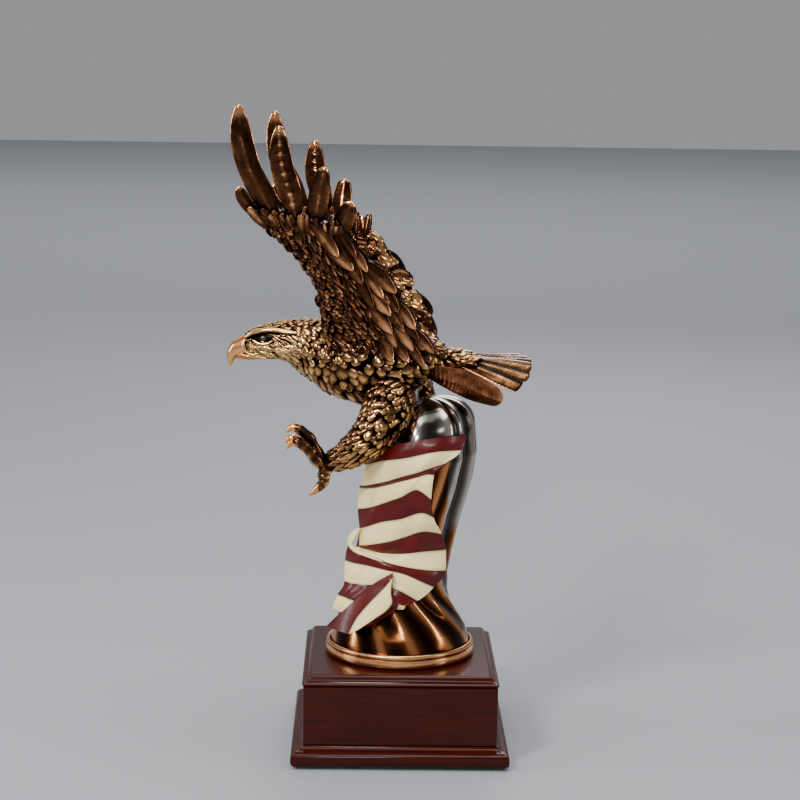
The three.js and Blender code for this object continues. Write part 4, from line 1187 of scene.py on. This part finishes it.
# Degrees towards the far side, share of the length, half width at the widest.
TAIL_FEATHERS = [(18, 0.94, 4.6), (10, 0.98, 4.4), (2, 1.0, 4.4), (-7, 1.0, 4.6), (-16, 1.0, 4.8),
                 (-27, 0.97, 5.6)]
tail_clay = Clay()
stump_rows = [(-8, 0, 0.2, 6, 5.0), (6, 0, 0, 7.4, 5.2), (15, -1.5, -0.8, 8.4, 4.4), (22, -3, -1.5, 7.0, 2.4)]
stump = limb([(*(Vector(row[:3]) + TAIL_ROOT), *row[3:]) for row in stump_rows])
pull(tail_clay, 16, 24, lambda share, turn: (stump(share, turn), 0.08))
lay(tail_clay, stump, round_about(0.05), lambda p: (7.5, 3.6, 1.4, 0.8), lean(1, -0.06), 61)
for i, (degrees, share, half) in enumerate(TAIL_FEATHERS):
    near = degrees < 0
    fan = (Matrix.Rotation(NEAR_DROOP if near else FAR_DROOP, 3, "X")
           @ Matrix.Rotation(math.radians(degrees), 3, "Z") @ Matrix.Rotation(DIP, 3, "Y"))
    lift, long = 0.5 * i if near else 0.0, TAIL_LENGTH * share
    vane(tail_clay, [(2, 0), (long * 0.35, 0.4), (long * 0.7, 0), (long, -0.6)],
         [half * 0.35, half * 0.62, half * 0.86, half, half], 1.3,
         lambda x, h, z: TAIL_ROOT + fan @ Vector((x, z, h + lift)), tip=0.93, ridge=0.9, barb=0.12,
         tone=0.2, rubbed_tip=0)

NEAR_ROOT, NEAR_TIP = Vector((14.0, -9.0, 225.0)), Vector((57.0, -27.0, 212.4))
ahead = (NEAR_TIP - NEAR_ROOT).normalized()
across = Vector((0.1, -0.45, 0.88))
across = (across - ahead * across.dot(ahead)).normalized()
outward = across.cross(ahead)
long = (NEAR_TIP - NEAR_ROOT).length
vane(tail_clay, [(0, 0), (long * 0.35, 0.8), (long * 0.7, 0.6), (long, -0.6)],
     [4.0, 7.0, 9.2, 9.6, 8.0, 5.4], 1.7, lambda x, h, z: NEAR_ROOT + ahead * x + across * z + outward * h,
     tip=0.86, rows=90, ridge=1.0, barb=0.24, tone=0.28, edge=0.22, rubbed_tip=0.6, finish=1)
TAIL_BRONZE = make_bronze("reddish_tail_bronze", [
    (0.1, (0.012, 0.005, 0.003)), (0.3, (0.11, 0.036, 0.014)), (0.55, (0.4, 0.15, 0.06)),
    (0.85, (0.95, 0.48, 0.22))], 0.3, 0.22)
finish_piece("tail_feathers", tail_clay, ["tail"], [BODY_BRONZE, TAIL_BRONZE], shift=EAGLE_SHIFT)

# %% [markdown]
# The near leg reaches forward with its toes spread. The thigh wears rounded feathers that
# turn to streaks above the foot; the toes are knotted rolls with a scute at every joint, and
# the claws are plain polished hooks. The far foot grips the column behind.

# %% Legs' drawing
LEFT_THIGH = [(-4, -17, 217, 10, 11), (-8, -20, 208, 12, 13.5), (-13.4, -23, 196.2, 11.5, 12.2),
              (-22.6, -25.5, 185.4, 9.6, 9.8), (-33.4, -26, 178.0, 6.6, 7.2), (-41, -26, 175.2, 4.2, 4.8)]
# Toes: x, y, z, half width and half height; the last three stations are the claw.
LEFT_TOES = [
    [(-36, -26, 175.5, 3.4, 3.6), (-45, -26, 172.6, 3.2, 3.4), (-50.5, -26.6, 180, 2.8, 3.0),
     (-54.6, -27.4, 188.5, 2.6, 2.7), (-60, -28, 193.6, 2.3, 2.4), (-64.6, -28, 194.6, 1.7, 1.8),
     (-67.6, -28, 192.0, 0.3, 0.4)],
    [(-45.5, -26, 172, 3.0, 3.2), (-51, -21.5, 174.6, 2.7, 2.9), (-55.6, -19, 180.5, 2.5, 2.6),
     (-60.6, -18, 184.6, 2.2, 2.3), (-65.6, -18, 186.4, 1.6, 1.7), (-69, -18, 184.0, 0.3, 0.4)],
    [(-45.5, -26, 172, 3.0, 3.2), (-50, -31, 176.5, 2.7, 2.9), (-54.5, -33.4, 182.6, 2.5, 2.6),
     (-59.6, -35, 186.8, 2.2, 2.3), (-64.4, -35, 187.0, 1.5, 1.6), (-67.4, -35, 183.6, 0.3, 0.4)],
    [(-43.5, -26, 173.5, 3.4, 3.6), (-45.6, -26, 167.5, 2.9, 3.0), (-46.2, -26, 162.4, 2.3, 2.5),
     (-49.2, -26, 158.2, 1.5, 1.8), (-54.4, -26, 154.2, 0.3, 0.4)]]
RIGHT_THIGH = [(1.3, 20, 222, 9, 11), (5.3, 22.5, 212.5, 9, 11), (9, 25, 203.5, 8, 9), (12, 29, 194.5, 5, 6)]
# The far foot's toes: share of the column's height, degrees round it, and radius.
RIGHT_TOES = [
    [(0.895, 178, 4), (0.87, 190, 3.4), (0.84, 203, 3.0), (0.79, 215, 2.6), (0.75, 224, 1.4)],
    [(0.895, 178, 4), (0.86, 180, 3.4), (0.82, 183, 3.0), (0.77, 184, 2.6), (0.72, 185, 1.4)],
    [(0.895, 178, 4), (0.87, 167, 3.4), (0.84, 155, 3.0), (0.79, 146, 2.6), (0.75, 140, 1.4)]]


def grip(share, degrees, radius):
    point = column_point(share, math.radians(degrees), radius * 0.75)[0] - EAGLE_SHIFT
    return (*point, radius, radius)


right_toes = [[grip(*station) for station in toe] for toe in RIGHT_TOES]
print("toes in front:", len(LEFT_TOES), "toes on the column:", len(right_toes))

# %% [markdown]
# A toe is pulled along its stations and then swollen at every knuckle, with an uneven wave so
# that no two look alike. The claw is a second, smoother limb in brighter metal at its end.

# %% Legs
KNUCKLES, CLAW_START = 6, (0.74, 0.82)


def make_toe(clay, stations, seed):
    shape, rng = limb(stations), random.Random(seed)
    waves = [rng.uniform(0, 6.28) for _ in range(2)]

    def place(share, turn):
        middle = Vector(flow(stations, share)[:3])
        claw = ease(*CLAW_START, share)
        knot = 0.5 + 0.5 * math.cos(2 * math.pi * share * KNUCKLES + 0.5 * math.sin(turn + waves[0]))
        uneven = 0.2 * knot + 0.1 * math.sin(3 * turn + waves[1] + 9 * share)
        relief = (0.24 + 0.5 * knot * max(0.25, math.sin(turn))) * (1 - claw) + 0.8 * claw
        return middle + (shape(share, turn) - middle) * (1.16 + (1 - claw) * uneven - 0.06 * claw), relief

    pull(clay, 56, 16, place)
    claw = [(x, y, z, 1.1 * wide + 0.2, 1.1 * high + 0.2) for x, y, z, wide, high in stations[-3:]]
    claw[0] = tuple(Vector(claw[0]).lerp(Vector(claw[1]), 0.45))
    solid_limb(clay, claw, 18, 14, lambda share, turn: 0.75 + 0.2 * math.sin(turn), 1)


def make_leg(name, thigh, toes, knuckle, radius):
    clay, surface = Clay(), limb(thigh)
    pull(clay, 24, 28, lambda share, turn: (surface(share, turn), 0.08))

    def size(p):
        low = 1 - ease(180, 198, p.z)
        return (7.2 + 1.8 * low, 5.6 - 2.4 * low, 1.6 - 0.3 * low, 0.9)

    away = (Vector(thigh[-1][:3]) - Vector(thigh[-3][:3])).normalized()
    made = lay(clay, surface, (0.04, 0.97, -math.pi, math.pi), size, lambda p: away, 70 + len(name))
    print(name, "feathers:", made)
    for i, toe in enumerate(toes):
        make_toe(clay, toe, 80 + i)

    def lumpy(share, turn):
        swell = radius * (1 + 0.08 * math.sin(5 * turn + 9 * share))
        return Vector(knuckle) + globe(share, turn) * swell, 0.2

    pull(clay, 12, 18, lumpy)
    finish_piece(name + "_feathered", clay, [name], [BODY_BRONZE, BEAK_COPPER],
                 shift=EAGLE_SHIFT)


make_leg("left_leg", LEFT_THIGH, LEFT_TOES, (-43.5, -26, 172.5), 4.6)
make_leg("right_leg", RIGHT_THIGH + [right_toes[0][0]], right_toes, right_toes[0][0][:3], 4.8)

# %% [markdown]
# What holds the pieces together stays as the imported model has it: pine blocks and wood screws
# inside the plinth, a threaded rod with its nut and washer, and steel dowels at the joints.
# They are hidden in use, but they carry their own finish for anyone who takes it apart.

# %% Hidden fixings
for name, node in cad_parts.items():
    if not node.hide_render:
        node.data.materials.clear()
        node.data.materials.append(BARE_WOOD if "block" in name else STEEL)
        print("kept as packed:", name)

# %% Box and finish
VISUAL_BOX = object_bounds()
for name, box in (("packed", CAD_BOX), ("finished", VISUAL_BOX)):
    print(name, "size in mm:", [round(side / MM, 1) for side in box[1] - box[0]])
